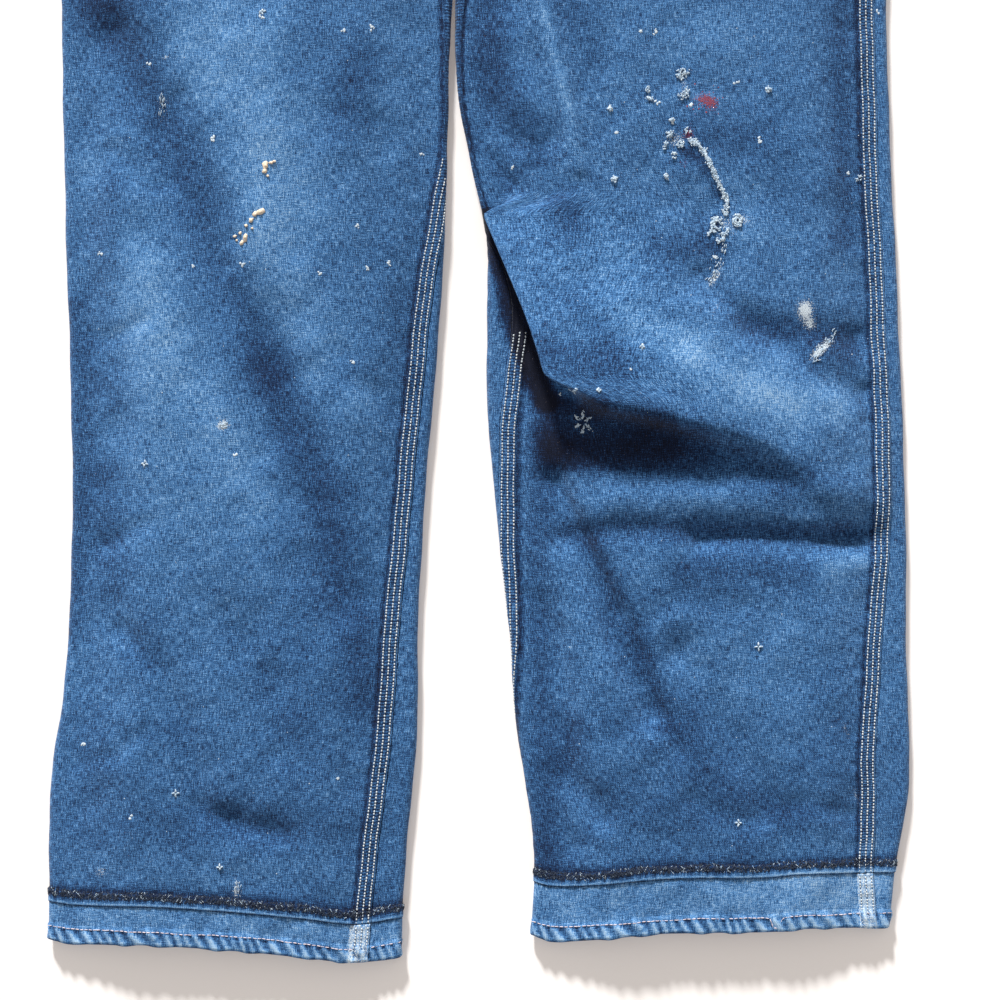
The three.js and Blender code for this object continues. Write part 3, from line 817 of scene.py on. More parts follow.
def new_group(
    name: str, takes: dict[str, str], gives: dict[str, str]
) -> tuple[bpy.types.NodeTree, Graph, bpy.types.Node, bpy.types.Node]:
    """Starts a shader node group.

    Args:
        name: the group's name.
        takes: its inputs' names and kinds of socket.
        gives: its outputs' names and kinds of socket.

    Returns:
        The group, a graph of it, and its input and output nodes.
    """
    group = bpy.data.node_groups.new(name, "ShaderNodeTree")
    for label, kind in takes.items():
        group.interface.new_socket(label, in_out="INPUT", socket_type=kind)
    for label, kind in gives.items():
        group.interface.new_socket(label, in_out="OUTPUT", socket_type=kind)
    graph = Graph(group)
    return group, graph, graph.node("NodeGroupInput"), graph.node("NodeGroupOutput")


def weave_group() -> bpy.types.NodeTree:
    """Uneven hand-worn denim yarn: slubs along the warp and weft, and the fine grain between.

    Returns:
        The group.
    """
    group, g, taken, given = new_group(
        "Denim weave", {"Cloth": "NodeSocketVector"},
        {"Tone": "NodeSocketFloat", "Height": "NodeSocketFloat"})
    cloth = taken.outputs["Cloth"]
    warp = g.noise(g.scaled(cloth, (1.45, 0.17, 0.0)), 1.0, 1.5, 0.65)
    weft = g.noise(g.scaled(cloth, (0.19, 1.45, 0.0)), 1.0, 1.5, 0.65)
    grain = g.noise(cloth, 1.8, 2.0, 0.75)
    broad = g.noise(cloth, 0.07, 3.0, 0.6)
    tone = g.math("MULTIPLY", g.math("SUBTRACT", warp, 0.5), 1.2)
    tone = g.math("ADD", tone, g.math("MULTIPLY", g.math("SUBTRACT", weft, 0.5), 1.0))
    tone = g.math("ADD", tone, g.math("MULTIPLY", g.math("SUBTRACT", grain, 0.5), 1.9))
    tone = g.math("ADD", tone, g.math("MULTIPLY", g.math("SUBTRACT", broad, 0.5), 0.22))
    twill = g.node("ShaderNodeTexWave", bands_direction="DIAGONAL")
    g.put(twill.inputs["Vector"], g.scaled(cloth, (1.0, 0.6, 0.0)))
    g.put(twill.inputs["Scale"], 0.42)
    g.put(twill.inputs["Distortion"], 1.6)
    g.put(twill.inputs["Detail"], 1.0)
    height = g.math("ADD", g.math("MULTIPLY", tone, 0.6), g.math("MULTIPLY", twill.outputs["Fac"], 0.5))
    g.put(given.inputs["Tone"], tone)
    g.put(given.inputs["Height"], height)
    return group


def ragged_group() -> bpy.types.NodeTree:
    """A soft mask broken up by the cloth's threads, for paint and for rubbed edges.

    Returns:
        The group.
    """
    group, g, taken, given = new_group(
        "Ragged edge", {"Mask": "NodeSocketFloat", "Cloth": "NodeSocketVector"},
        {"Mask": "NodeSocketFloat"})
    spots = g.noise(taken.outputs["Cloth"], 0.9, 2.0, 0.7)
    blend = g.math("ADD", taken.outputs["Mask"], g.math("MULTIPLY", g.math("SUBTRACT", spots, 0.5), 2.2))
    g.put(given.inputs["Mask"], g.stretch(blend, 0.42, 0.75))
    return group


@dataclass(frozen=True)
class DenimFinish:
    """Faded indigo denim: yarn tones from unworn to bare, a near-black painted-shade colour below them, and
    how far this cloth has faded.
    """

    name: str
    faded: float
    # the lowest colour is painted shade, for the shadowed hollows at the knee pouch
    painted_shade: tuple[float, float, float] = (0.0006, 0.0024, 0.013)
    dark: tuple[float, float, float] = (0.003, 0.017, 0.066)
    deep: tuple[float, float, float] = (0.021, 0.086, 0.228)
    worn: tuple[float, float, float] = (0.060, 0.196, 0.442)
    pale: tuple[float, float, float] = (0.128, 0.328, 0.640)
    bare: tuple[float, float, float] = (0.36, 0.54, 0.74)

    def material(self, weave: bpy.types.NodeTree, ragged: bpy.types.NodeTree) -> Material:
        """Makes the material from the shared weave and ragged-edge groups.

        Args:
            weave: the yarn's group.
            ragged: the broken edge's group.

        Returns:
            The material.
        """
        made, g, shader = new_material(self.name)
        cloth = g.fact("cloth").outputs["Vector"]
        yarn = group_node(g, weave, {"Cloth": cloth})
        # The tone attribute holds wear and dirt, and painted shade and highlights on the legs.
        wear_and_shade = g.fact("wear_and_shade").outputs["Fac"]
        lap = g.fact("lap").outputs["Fac"]
        parts = g.node("ShaderNodeSeparateXYZ")
        g.put(parts.inputs[0], cloth)
        rungs = g.math("SINE", g.math("MULTIPLY", parts.outputs["Y"], TURN / 2.3))
        rungs = g.math("SUBTRACT", g.math("MULTIPLY", rungs, 0.19), 0.17)
        wear_and_shade = g.math("ADD", wear_and_shade, g.math("MULTIPLY", lap, rungs))
        tone = g.math("MULTIPLY", yarn.outputs["Tone"], 1.2)
        tone = g.math("ADD", tone, g.math("ADD", wear_and_shade, self.faded))
        ramp = g.node("ShaderNodeValToRGB")
        # The lowest stop gives painted shade in the darkest hollows.
        stops = ((-0.5, self.painted_shade), (0.0, self.dark), (0.30, self.deep), (0.56, self.worn),
                 (0.78, self.pale), (1.0, self.bare))
        while len(ramp.color_ramp.elements) < len(stops):
            ramp.color_ramp.elements.new(0.5)
        for stop, (at, colour) in zip(ramp.color_ramp.elements, stops):
            stop.position, stop.color = (at + 0.5) / 1.5, (*colour, 1)
        g.put(ramp.inputs[0], g.stretch(tone, -0.5, 1.0))
        white = group_node(g, ragged, {"Mask": g.fact("paint").outputs["Fac"], "Cloth": cloth})
        red = group_node(g, ragged, {"Mask": g.fact("red").outputs["Fac"], "Cloth": cloth})
        colour = g.mix(white.outputs["Mask"], ramp.outputs["Color"], (0.62, 0.72, 0.80, 1))
        colour = g.mix(red.outputs["Mask"], colour, (0.235, 0.052, 0.085, 1))
        g.put(shader.inputs["Base Color"], colour)
        g.put(shader.inputs["Roughness"], g.stretch(yarn.outputs["Tone"], -0.6, 0.6, 0.95, 0.78))
        shader.inputs["Specular IOR Level"].default_value = 0.18
        shader.inputs["Sheen Weight"].default_value = 0.12
        bump = g.node("ShaderNodeBump")
        g.put(bump.inputs["Strength"], 0.55)
        g.put(bump.inputs["Distance"], 0.0006)
        g.put(bump.inputs["Height"], yarn.outputs["Height"])
        g.put(shader.inputs["Normal"], bump.outputs["Normal"])
        return made


@dataclass(frozen=True)
class PlainFinish:
    """Thread, dried paint or metal: a colour that varies softly, with its own shine."""

    name: str
    colour: tuple[float, float, float]
    shade: tuple[float, float, float]
    rough: float
    metal: float = 0.0
    scale: float = 900.0
    bump: float = 0.3

    def material(self) -> Material:
        """Makes the material.

        Returns:
            The material.
        """
        made, g, shader = new_material(self.name)
        where = g.node("ShaderNodeTexCoord").outputs["Object"]
        spots = g.noise(where, self.scale, 3.0, 0.6)
        colour = g.mix(g.stretch(spots, 0.35, 0.65), (*self.shade, 1), (*self.colour, 1))
        g.put(shader.inputs["Base Color"], colour)
        g.put(shader.inputs["Roughness"], g.stretch(spots, 0.3, 0.7, self.rough + 0.12, self.rough - 0.08))
        shader.inputs["Metallic"].default_value = self.metal
        bump = g.node("ShaderNodeBump")
        g.put(bump.inputs["Strength"], self.bump)
        g.put(bump.inputs["Distance"], 0.0003)
        g.put(bump.inputs["Height"], g.noise(where, self.scale * 2.2, 2.0, 0.6))
        g.put(shader.inputs["Normal"], bump.outputs["Normal"])
        return made


class Wardrobe:
    """All the garment's finishes, made once."""

    def __init__(self) -> None:
        """Makes the shared node groups and every material."""
        weave, ragged = weave_group(), ragged_group()
        self.denim = DenimFinish("Faded denim", 0.395).material(weave, ragged)
        self.hem = DenimFinish("Pale hem denim", 0.535).material(weave, ragged)
        self.thread = PlainFinish("White thread", (0.72, 0.76, 0.76), (0.45, 0.53, 0.60), 0.8).material()
        self.hem_thread = PlainFinish(
            "Pink-white thread", (0.78, 0.68, 0.70), (0.50, 0.46, 0.55), 0.8).material()
        self.navy = PlainFinish(
            "Navy thread", (0.030, 0.050, 0.092), (0.006, 0.010, 0.022), 0.85).material()
        self.fray = PlainFinish(
            "Frayed thread", (0.68, 0.77, 0.82), (0.26, 0.42, 0.60), 0.85).material()
        self.white = PlainFinish("White paint", (0.66, 0.74, 0.79), (0.42, 0.53, 0.63), 0.6).material()
        self.cream = PlainFinish(
            "Cream paint", (0.80, 0.66, 0.46), (0.72, 0.60, 0.50), 0.5, bump=0.6).material()
        self.red = PlainFinish("Red paint", (0.30, 0.05, 0.07), (0.17, 0.035, 0.06), 0.6).material()
        self.steel = PlainFinish(
            "Worn wire", (0.56, 0.54, 0.50), (0.34, 0.32, 0.29), 0.36, 1.0, 700).material()
        self.brass = PlainFinish(
            "Dull button metal", (0.52, 0.44, 0.32), (0.30, 0.25, 0.19), 0.42, 1.0, 600).material()


# ---- The legs ----------------------------------------------------------------------------------

class Side(Enum):
    """The wearer's side."""

    RIGHT = "right"
    LEFT = "left"


class Face(Enum):
    """Which of a leg's two panels."""

    FRONT = "front"
    BACK = "back"


def centre_line(v: Grid) -> Grid:
    """Where the centre seam is above the crotch."""
    return CENTRE * (1 - smooth((v - CROTCH) / (WAIST - CROTCH)))


@dataclass
class Leg:
    """One leg with its half of the hips, as a flattened tube of cloth.

    Places on it are (s, v): s is measured along the cloth from the left-hand side fold, over the
    front, round the right-hand fold and on underneath, and v is the height above the hem.
    """

    side: Side
    left: Run
    right: Run
    hem: Run
    band: float

    @property
    def lipped(self) -> bool:
        """Whether this leg has the pouch at the knee."""
        return self.side is Side.LEFT

    def edges(self, v: Grid) -> tuple[Grid, Grid, Grid]:
        """The two side folds' x, and the cloth between their middles.

        Args:
            v: heights above the hem.

        Returns:
            The left fold's x, the right fold's x and the span.
        """
        trunk = v > CROTCH
        waver = 0.5 * np.sin(v / 17.0) + 0.35 * np.sin(v / 7.3 + 2)
        left = np.where(trunk, along(RIGHT_OUTER, v), along(self.left, v)) + waver * 0.5
        right = np.where(trunk, along(LEFT_OUTER, v), along(self.right, v)) - waver * 0.5
        return left, right, right - left - 2 * FOLD + 2 * QUARTER

    def slant(self, x: Grid, v: Grid) -> Grid:
        """How far the cloth at x is raised by the slope of the hem."""
        return along(self.hem, x) * (1 - smooth((v - self.band) / HEM_FADE))

    def seams(self, face: Face, v: Grid) -> tuple[Grid, Grid]:
        """The cloth places of a panel's two edges at each height.

        Args:
            face: front or back.
            v: heights above the hem.

        Returns:
            The places where it starts and ends.
        """
        left, right, span = self.edges(v)
        trunk = v > CROTCH
        centre = QUARTER + centre_line(v) - left - FOLD
        under = span + QUARTER + right - FOLD - centre_line(v)
        out = 0.45
        if self.side is Side.RIGHT:
            outer = along(RIGHT_OUTSEAM, v)
            inner = span - along(RIGHT_INSEAM, v)
            if face is Face.FRONT:
                return outer, np.where(trunk, centre - GAP / 2, inner)
            return np.where(trunk, under + GAP / 2, inner + out), 2 * span + outer - out
        inner, outer = along(LEFT_INSEAM, v), span - along(LEFT_OUTSEAM, v)
        if face is Face.FRONT:
            return np.where(trunk, centre + GAP / 2, inner), outer
        return outer + out, np.where(trunk, under - GAP / 2, 2 * span + inner - out)

    def relief(self, x: Grid, y: Grid, left: Grid, right: Grid) -> Grid:
        """Height of the front above its side folds.

        Args:
            x, y: places in the pattern.
            left: the left fold's x.
            right: the right fold's x.

        Returns:
            The heights.
        """
        from_side = np.minimum(x - left, right - x) - FOLD
        dip = 1 - smooth((np.abs(x - CENTRE) - FOLD) / PUFF_RUN)
        z = along(PUFF, y) * smooth(from_side / PUFF_RUN)
        z = np.where(y > CROTCH, z * (1 - dip * (1 - smooth((y - CROTCH) / DIP_REACH))), z)
        z = z + sum(c.height(x, y) for c in LARGE_FOLDS) * smooth(from_side / 30)
        if self.lipped:
            z = z + np.where(y < CROTCH, self.pouch_rise(x, y) * smooth(from_side / 12), 0)
        fine = sum(c.height(x, y) for c in FINE_FOLDS)
        fine = fine + 0.55 * rumple(x, y, 52, 3) + 0.3 * rumple(x, y, 23, 5) + 0.09 * rumple(x, y, 8.5, 7)
        return np.maximum(z + fine * smooth(from_side / 14), 0)

    @staticmethod
    def roll_share(x: Grid, y: Grid) -> Grid:
        """How far along the pouch's roll the cloth is: 0 at its foot, 1 on top of the lip."""
        return (x - along(POUCH_LIP, y) - POUCH_FOOT) / POUCH_ROLL

    def pouch_rise(self, x: Grid, y: Grid) -> Grid:
        """How far the knee pouch lifts the cloth.

        Args:
            x, y: places in the pattern.

        Returns:
            The rise at each place.
        """
        above = y - along(POUCH_CREST, x)
        edge = smooth(above / along(POUCH_DROP, x) + 1)
        fall = 1 - smooth(above / POUCH_REACH)
        return along(POUCH_RISE, x) * edge * smooth(self.roll_share(x, y)) * fall

    def pouch_shift(self, x: Grid, y: Grid) -> Grid:
        """How far the roll of the lip carries the cloth sideways.

        Args:
            x, y: places in the pattern.

        Returns:
            The shift in x at each place.
        """
        t = self.roll_share(x, y)
        back = np.where(t < 1, smooth(t), 1 - smooth((t - 1) * POUCH_ROLL / POUCH_SETTLE))
        below, above = smooth((y - SWEEP_FROM) / SWEEP_IN), smooth((y - SWEEP_TO) / SWEEP_OUT)
        return -POUCH_SWEEP * back * below * (1 - above)

    def point(self, s: Grid, v: Grid) -> Grid:
        """The outside of the cloth, before any lap is added: (..., 3) in the pattern.

        Args:
            s, v: places on the cloth.

        Returns:
            The points.
        """
        s, v = np.broadcast_arrays(np.asarray(s, float), np.asarray(v, float))
        left, right, span = self.edges(v)
        s = np.where(s > 2 * span - QUARTER, s - 2 * span, s)
        past = s - span
        over, turn, back = s < -QUARTER, s < QUARTER, past < QUARTER
        top = s <= span - QUARTER
        a, b = s / FOLD, past / FOLD
        x = np.select(
            [over, turn, top, back],
            [left + FOLD - QUARTER - s, left + FOLD - np.cos(a) * FOLD, left + FOLD + s - QUARTER,
             right - FOLD + np.cos(b) * FOLD],
            right - FOLD - past + QUARTER)
        y = v + self.slant(x, v)
        level = 2 * FOLD + self.relief(x, y, left, right)
        dent = 0.7 * (1 + rumple(x, y, 60, 11)) + 0.5 * (1 + rumple(x, y, 21, 12))
        room = smooth((np.minimum(x - left, right - x) - 9) / 20)
        under = np.maximum(dent - 0.4, 0) * room
        z = np.select(
            [over, turn, top, back],
            [under, FOLD + np.sin(a) * FOLD, level, FOLD - np.sin(b) * FOLD], under)
        if self.lipped:
            x = np.where(top & ~over & ~turn & (v <= CROTCH), x + self.pouch_shift(x, y), x)
        return np.stack((x, y, z), -1)

    def normal(self, s: Grid, v: Grid) -> Grid:
        """The cloth's outward direction at (s, v).

        Args:
            s, v: places on the cloth.

        Returns:
            Unit vectors.
        """
        h = 0.4
        across = self.point(s + h, v) - self.point(s - h, v)
        up = self.point(s, v + h) - self.point(s, v - h)
        out = np.cross(across, up)
        return out / np.maximum(np.linalg.norm(out, axis=-1, keepdims=True), 1e-9)

    def skin(self, s: Grid, v: Grid, above: float | Grid) -> tuple[Grid, Grid]:
        """Points raised off the cloth by the given amount, and the outward direction at each."""
        out = self.normal(s, v)
        return self.point(s, v) + out * np.asarray(above)[..., None], out

    def lap_depth(self, s: Grid, v: Grid) -> Grid:
        """How far inside the nearest lapped edge of the front a place is: far if it has none.

        Args:
            s, v: places on the cloth.

        Returns:
            The depths.
        """
        start, end = self.seams(Face.FRONT, v)
        near_start = np.where((v > CROTCH) & self.lipped, FAR, s - start)
        near_start = np.where(near_start < -0.2, FAR, near_start)
        return np.minimum(near_start, np.where(end - s < -0.2, FAR, end - s))

    def lap_lift(self, depth: Grid, v: Grid) -> Grid:
        """How thick a lap is, drawn in along its three rows of stitching.

        Args:
            depth: distances inside the lapped edge.
            v: heights above the hem.

        Returns:
            The thickness at each place.
        """
        rows = sum(bell(depth - d, 0.75) for d in SEAM_ROWS)
        rope = 0.14 * np.sin(v * TURN / 6.4 + 1.5 * np.sin(v / 19)) + 0.1 * np.sin(v * TURN / 3.3 + depth)
        thick = LAP * (1 - smooth((depth - LAP_WIDTH) / 0.8)) * (1 - 0.42 * rows + rope)
        return thick * smooth(depth / 0.5 + 0.55)

    def pucker(self, depth: Grid, v: Grid) -> Grid:
        """Small drags in the cloth beside a lap.

        Args:
            depth: distances inside the lapped edge.
            v: heights above the hem.

        Returns:
            The lift at each place.
        """
        near = np.exp(-np.maximum(depth - LAP_WIDTH, 0) / 9) * (depth > LAP_WIDTH) * (depth < 60)
        drag = np.sin(v * TURN / 13.5 + 2 * np.sin(v / 31)) + 0.6 * np.sin(v * TURN / 7.1)
        return 0.3 * near * drag

    def place_of(self, x: Grid, y: Grid) -> tuple[Grid, Grid]:
        """The cloth places of points seen from above at (x, y).

        Args:
            x, y: places in the pattern.

        Returns:
            Their s and v.
        """
        bare, v = np.array(x, float), np.array(y, float)
        for _ in range(8):
            v = y - self.slant(bare, v)
            if self.lipped:
                bare = bare + 0.7 * (x - bare - self.pouch_shift(bare, y))
        return QUARTER + bare - self.edges(v)[0] - FOLD, v


def on_top(points: Grid) -> Grid:
    """How much each point of the cloth is on the upper side: 0 underneath, 1 on top."""
    return smooth(points[..., 2] / (2 * FOLD))


SEAM_ROWS = (1.9, 6.2, 10.5)
RIGHT_LEG = Leg(Side.RIGHT, RIGHT_OUTER, RIGHT_INNER, RIGHT_HEM, 28.0)
LEFT_LEG = Leg(Side.LEFT, LEFT_INNER, LEFT_OUTER, LEFT_HEM, 39.5)


def faded(x: Grid, y: Grid) -> Grid:
    """How far wear has faded or dirt has darkened the front at each place, with painted shade in its hollows
    and creases and painted highlights on some ridges.

    Args:
        x, y: places in the pattern.

    Returns:
        The change of tone.
    """
    worn = sum(mark.strength(x, y) for mark in (*FADES_AND_HIGHLIGHTS, *STREAKS))
    low = 0.07 * smooth((230 - y) / 160)
    return worn - low + 0.025 * rumple(x, y, 34, 21) + 0.015 * rumple(x, y, 12, 22)


def columns(
    start: Grid, end: Grid, lapped: bool, step: float, stops: list[tuple[Grid, float]]
) -> Grid:
    """Cloth places across a panel, closer together where the form is tight.

    Args:
        start: the panel's one edge at each height.
        end: its other edge.
        lapped: whether both edges are laps, which need columns a millimetre apart.
        step: spacing of the rest.
        stops: places across at each height, in order, each with the spacing up to it.

    Returns:
        A (rows, columns) array of cloth places.
    """
    lap = np.linspace(0, LAP_WIDTH, 13)
    edge = np.concatenate((lap, (LAP_WIDTH + 0.5, LAP_WIDTH + 1.2))) if lapped else np.array((0.0, 0.6))
    inner, outer = start + edge[-1], end - edge[-1]
    parts, at = [start[:, None] + edge], inner
    for stop, spacing in [*stops, (outer, step)]:
        stop = np.clip(stop, at + 0.5, outer - 0.5) if stop is not outer else stop
        count = max(int(np.median(stop - at) / spacing), 1)
        share = np.arange(1, count + 1) / (count + (stop is outer))
        parts.append(at[:, None] + (stop - at)[:, None] * share)
        at = stop
    parts.append(end[:, None] - edge[::-1])
    return np.concatenate(parts, 1)


@dataclass
class LegPanel:
    """The front or back of one leg, from its hem seam to the waist."""

    leg: Leg
    face: Face
    step: float = 3.0

    def heights(self) -> Grid:
        """Heights of the rows of points.

        Returns:
            The heights, from the hem up.
        """
        foot = self.leg.band + np.array((
            0, 0.4, 1.0, 1.8, 2.8, 4.0, 5.2, 6.4, 7.6, 8.5, 9.0, 9.5, 10.1, 11.2, 13.0))
        legs = np.arange(foot[-1] + self.step * 0.8, CROTCH - 1, self.step)
        hips = np.arange(CROTCH + FOLD, WAIST - GAP, 4.5)
        return np.concatenate((foot, legs, (CROTCH,), hips, (WAIST - GAP,)))

    def across(self, v: Grid) -> Grid:
        """Cloth places of the columns of points at each height.

        Args:
            v: the heights.

        Returns:
            A (rows, columns) array.
        """
        start, end = self.leg.seams(self.face, v)
        left, _, span = self.leg.edges(v)
        if self.face is Face.FRONT:
            stops: list[tuple[Grid, float]] = []
            if self.leg.lipped:
                foot = QUARTER + along(POUCH_LIP, v) + POUCH_FOOT - left - FOLD
                stops = [(foot - 3, 2.0), (foot + 30, 1.1)]
            return columns(start, end, True, self.step, stops)
        last = 2 * span - (24 if self.leg.lipped else 34)
        return columns(start, end, False, 2.2, [(span + 20, 1.6), (last, 9.0)])

    def build(self, place: Place, finish: Material, paint: "PaintWork") -> Thing:
        """Makes the panel.

        Args:
            place: where the pattern lies.
            finish: the denim.
            paint: the soft stains that soak into it.

        Returns:
            The panel.
        """
        leg = self.leg
        v = self.heights()
        s = self.across(v)
        high = np.broadcast_to(v[:, None], s.shape)
        base, out = leg.skin(s, high, 0.0)
        front = self.face is Face.FRONT
        depth = leg.lap_depth(s, high) if front else np.full(s.shape, FAR)
        lift = leg.lap_lift(depth, high) if front else np.zeros(s.shape)
        above_band = high - leg.band
        turned = 1 - smooth((above_band - TURNING) / 0.7)
        gather = 0.16 * np.sin(s * TURN / 5.3 + 1.5 * np.sin(s / 13)) + 0.12 * np.sin(s * TURN / 9.1)
        round_off = smooth(above_band / 1.6 + 0.45)
        lift = np.maximum(lift, LAP * turned * (1 + gather) * round_off)
        drag = 0.35 * np.exp(-np.maximum(above_band - TURNING, 0) / 8) * (1 - turned)
        drag = drag * np.sin(s * TURN / 10.5 + np.sin(s / 17))
        upper = on_top(base)
        pull = leg.pucker(leg.lap_depth(s, high), high) + drag
        outside = base + out * (lift * upper + pull * upper)[..., None]
        inside = base - out * (CLOTH + lift * (1 - upper) * 0.9)[..., None]
        x, y = base[..., 0], base[..., 1]
        # Tone of the upper side: wear and dirt, with painted shade and highlights from the tables above.
        wear_and_shade = np.where(base[..., 2] > 2, faded(x, y), 0.04 * rumple(x, y, 40, 31))
        # Painted shadow of the knee pouch's lip on the cloth and seam beside it, darkest on the front.
        if leg.lipped:
            share = leg.roll_share(s - QUARTER + leg.edges(high)[0] + FOLD, y)
            hollow = Streak(LIP_SHADOW_RUN, 8.5, -1.1, 4.0).strength(x, y) * (share < 0.5)
            wear_and_shade = wear_and_shade + np.where(front, hollow, Streak(LIP_SHADOW_RUN, 8.5, -0.9, 4.0).strength(x, y))
        rows = sum(bell(depth - d, 0.9) for d in SEAM_ROWS)
        on_lap = 1 - smooth((depth - LAP_WIDTH) / 0.6)
        wear_and_shade = wear_and_shade + on_lap * (0.02 - 0.16 * rows) + 0.22 * bell(depth - 0.2, 0.5)
        # A dark line where the thick seam band steps down to the front: unworn indigo, partly painted shade.
        wear_and_shade = wear_and_shade - 0.45 * bell(depth - LAP_WIDTH - 1.0, 1.0) * front
        wear_and_shade = wear_and_shade - 0.46 * bell(above_band - 7.8, 3.4, 4) - 0.20 * bell(above_band - 12.2, 3.2)
        # A painted highlight on the ridge at the joint of leg and hem band, with a painted shadow line just
        # below it.
        wear_and_shade = wear_and_shade + 0.48 * bell(above_band - 1.3, 0.8) - 0.35 * bell(above_band, 0.5)
        wear_and_shade = wear_and_shade + 0.9 * gather * bell(above_band - 3.4, 1.7, 4)
        soft, red = paint.soaked(x, y)
        cloth = np.stack((s, high, np.zeros(s.shape)), -1)
        name = f"{leg.side.value}_leg_{self.face.value}"
        up_side = base[..., 2] > 4
        between = on_lap * smooth((depth - 0.6) / 0.8) * smooth((LAP_WIDTH - 0.6 - depth) / 0.8)
        between = between * (1 - turned)
        shell = Shell(outside, inside, cloth, wear_and_shade, soft * up_side, red * up_side, between)
        made = shell.build(place, f"{name}_denim", finish)
        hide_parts(name)
        return made


@dataclass
class HemBand:
    """The old hem, sewn back on below one leg: a front or a back, with a roped lower edge."""

    leg: Leg
    face: Face
    row: float = 10.5

    def lift(self, s: Grid, v: Grid) -> Grid:
        """How the turned hem swells and twists into ropes.

        Args:
            s, v: places on the cloth.

        Returns:
            How far it stands off the leg's form.
        """
        twist = s / 8.6 + v / 15 + 0.45 * np.sin(s / 21) + 0.3 * np.sin(s / 7.7)
        rope = (0.5 + 0.5 * np.sin(TURN * twist)) ** 1.4
        hem = 1 - smooth((v - self.row - 0.6) / 2.0)
        stitch = bell(v - self.row, 1.2)
        above = 0.22 * np.sin(s * TURN / 11 + v / 5) * np.exp(-np.maximum(v - self.row, 0) / 7)
        return hem * (0.7 + 1.6 * rope) * smooth(v / 2.4 + 0.25) + above - 0.6 * stitch

    def build(self, place: Place, finish: Material) -> Thing:
        """Makes the band.

        Args:
            place: where the pattern lies.
            finish: the paler denim.

        Returns:
            The band.
        """
        leg = self.leg
        body = np.arange(2.8, leg.band - 1, 1.25)
        v = np.concatenate(((0, 0.5, 1.1, 1.9), body, (leg.band - GAP,)))
        start, end = leg.seams(self.face, v)
        _, _, span = leg.edges(v)
        front = self.face is Face.FRONT
        if front:
            s = columns(start, end, True, 1.4, [])
        else:
            s = columns(start, end, False, 1.6, [(span + 20, 1.4), (2 * span - 30, 3.5)])
        high = np.broadcast_to(v[:, None], s.shape)
        base, out = leg.skin(s, high, 0.0)
        upper = on_top(base)
        depth = leg.lap_depth(s, high) if front else np.full(s.shape, FAR)
        rope = self.lift(s, high)
        lap = leg.lap_lift(depth, high) if front else np.zeros(s.shape)
        lift = rope + lap * 0.9
        outside = base + out * (lift * upper)[..., None]
        outside[..., 1] += 0.7 * np.sin(s / 5.1 + np.sin(s / 11)) * np.exp(-high / 4)
        inside = base - out * (CLOTH + np.maximum(lift, 0) * (1 - upper) * 0.5)[..., None]
        worn = 0.42 * (rope - 1.25) * (1 - smooth((high - self.row + 1.5) / 3))
        rubbed = 0.16 * bell(high - 1.5, 1.8) - 0.2 * bell(high - self.row + 1.6, 0.8)
        wear_and_shade = worn + rubbed + 0.07 * rumple(base[..., 0], base[..., 1], 22, 41)
        chalk = np.zeros(s.shape)
        if leg.lipped:
            wear_and_shade = wear_and_shade + Patch(250, 55, 60, 40, 0.16).strength(base[..., 0], base[..., 1])
        if front:
            bare = (1 - smooth((depth - LAP_WIDTH - (0.5 if leg.lipped else 3.4)) / 0.9)) * (depth > 0)
            rows = sum(bell(depth - d, 0.9) for d in SEAM_ROWS)
            wear_and_shade = wear_and_shade + bare * (0.30 - 0.25 * rows)
            chalk = bare * (0.62 - 0.3 * rows)
        cloth = np.stack((s, high, np.zeros(s.shape)), -1)
        name = f"{leg.side.value}_hem_{self.face.value}"
        made = Shell(outside, inside, cloth, wear_and_shade, chalk).build(place, f"{name}_band", finish)
        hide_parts(name)
        return made


# ---- Stitching ---------------------------------------------------------------------------------

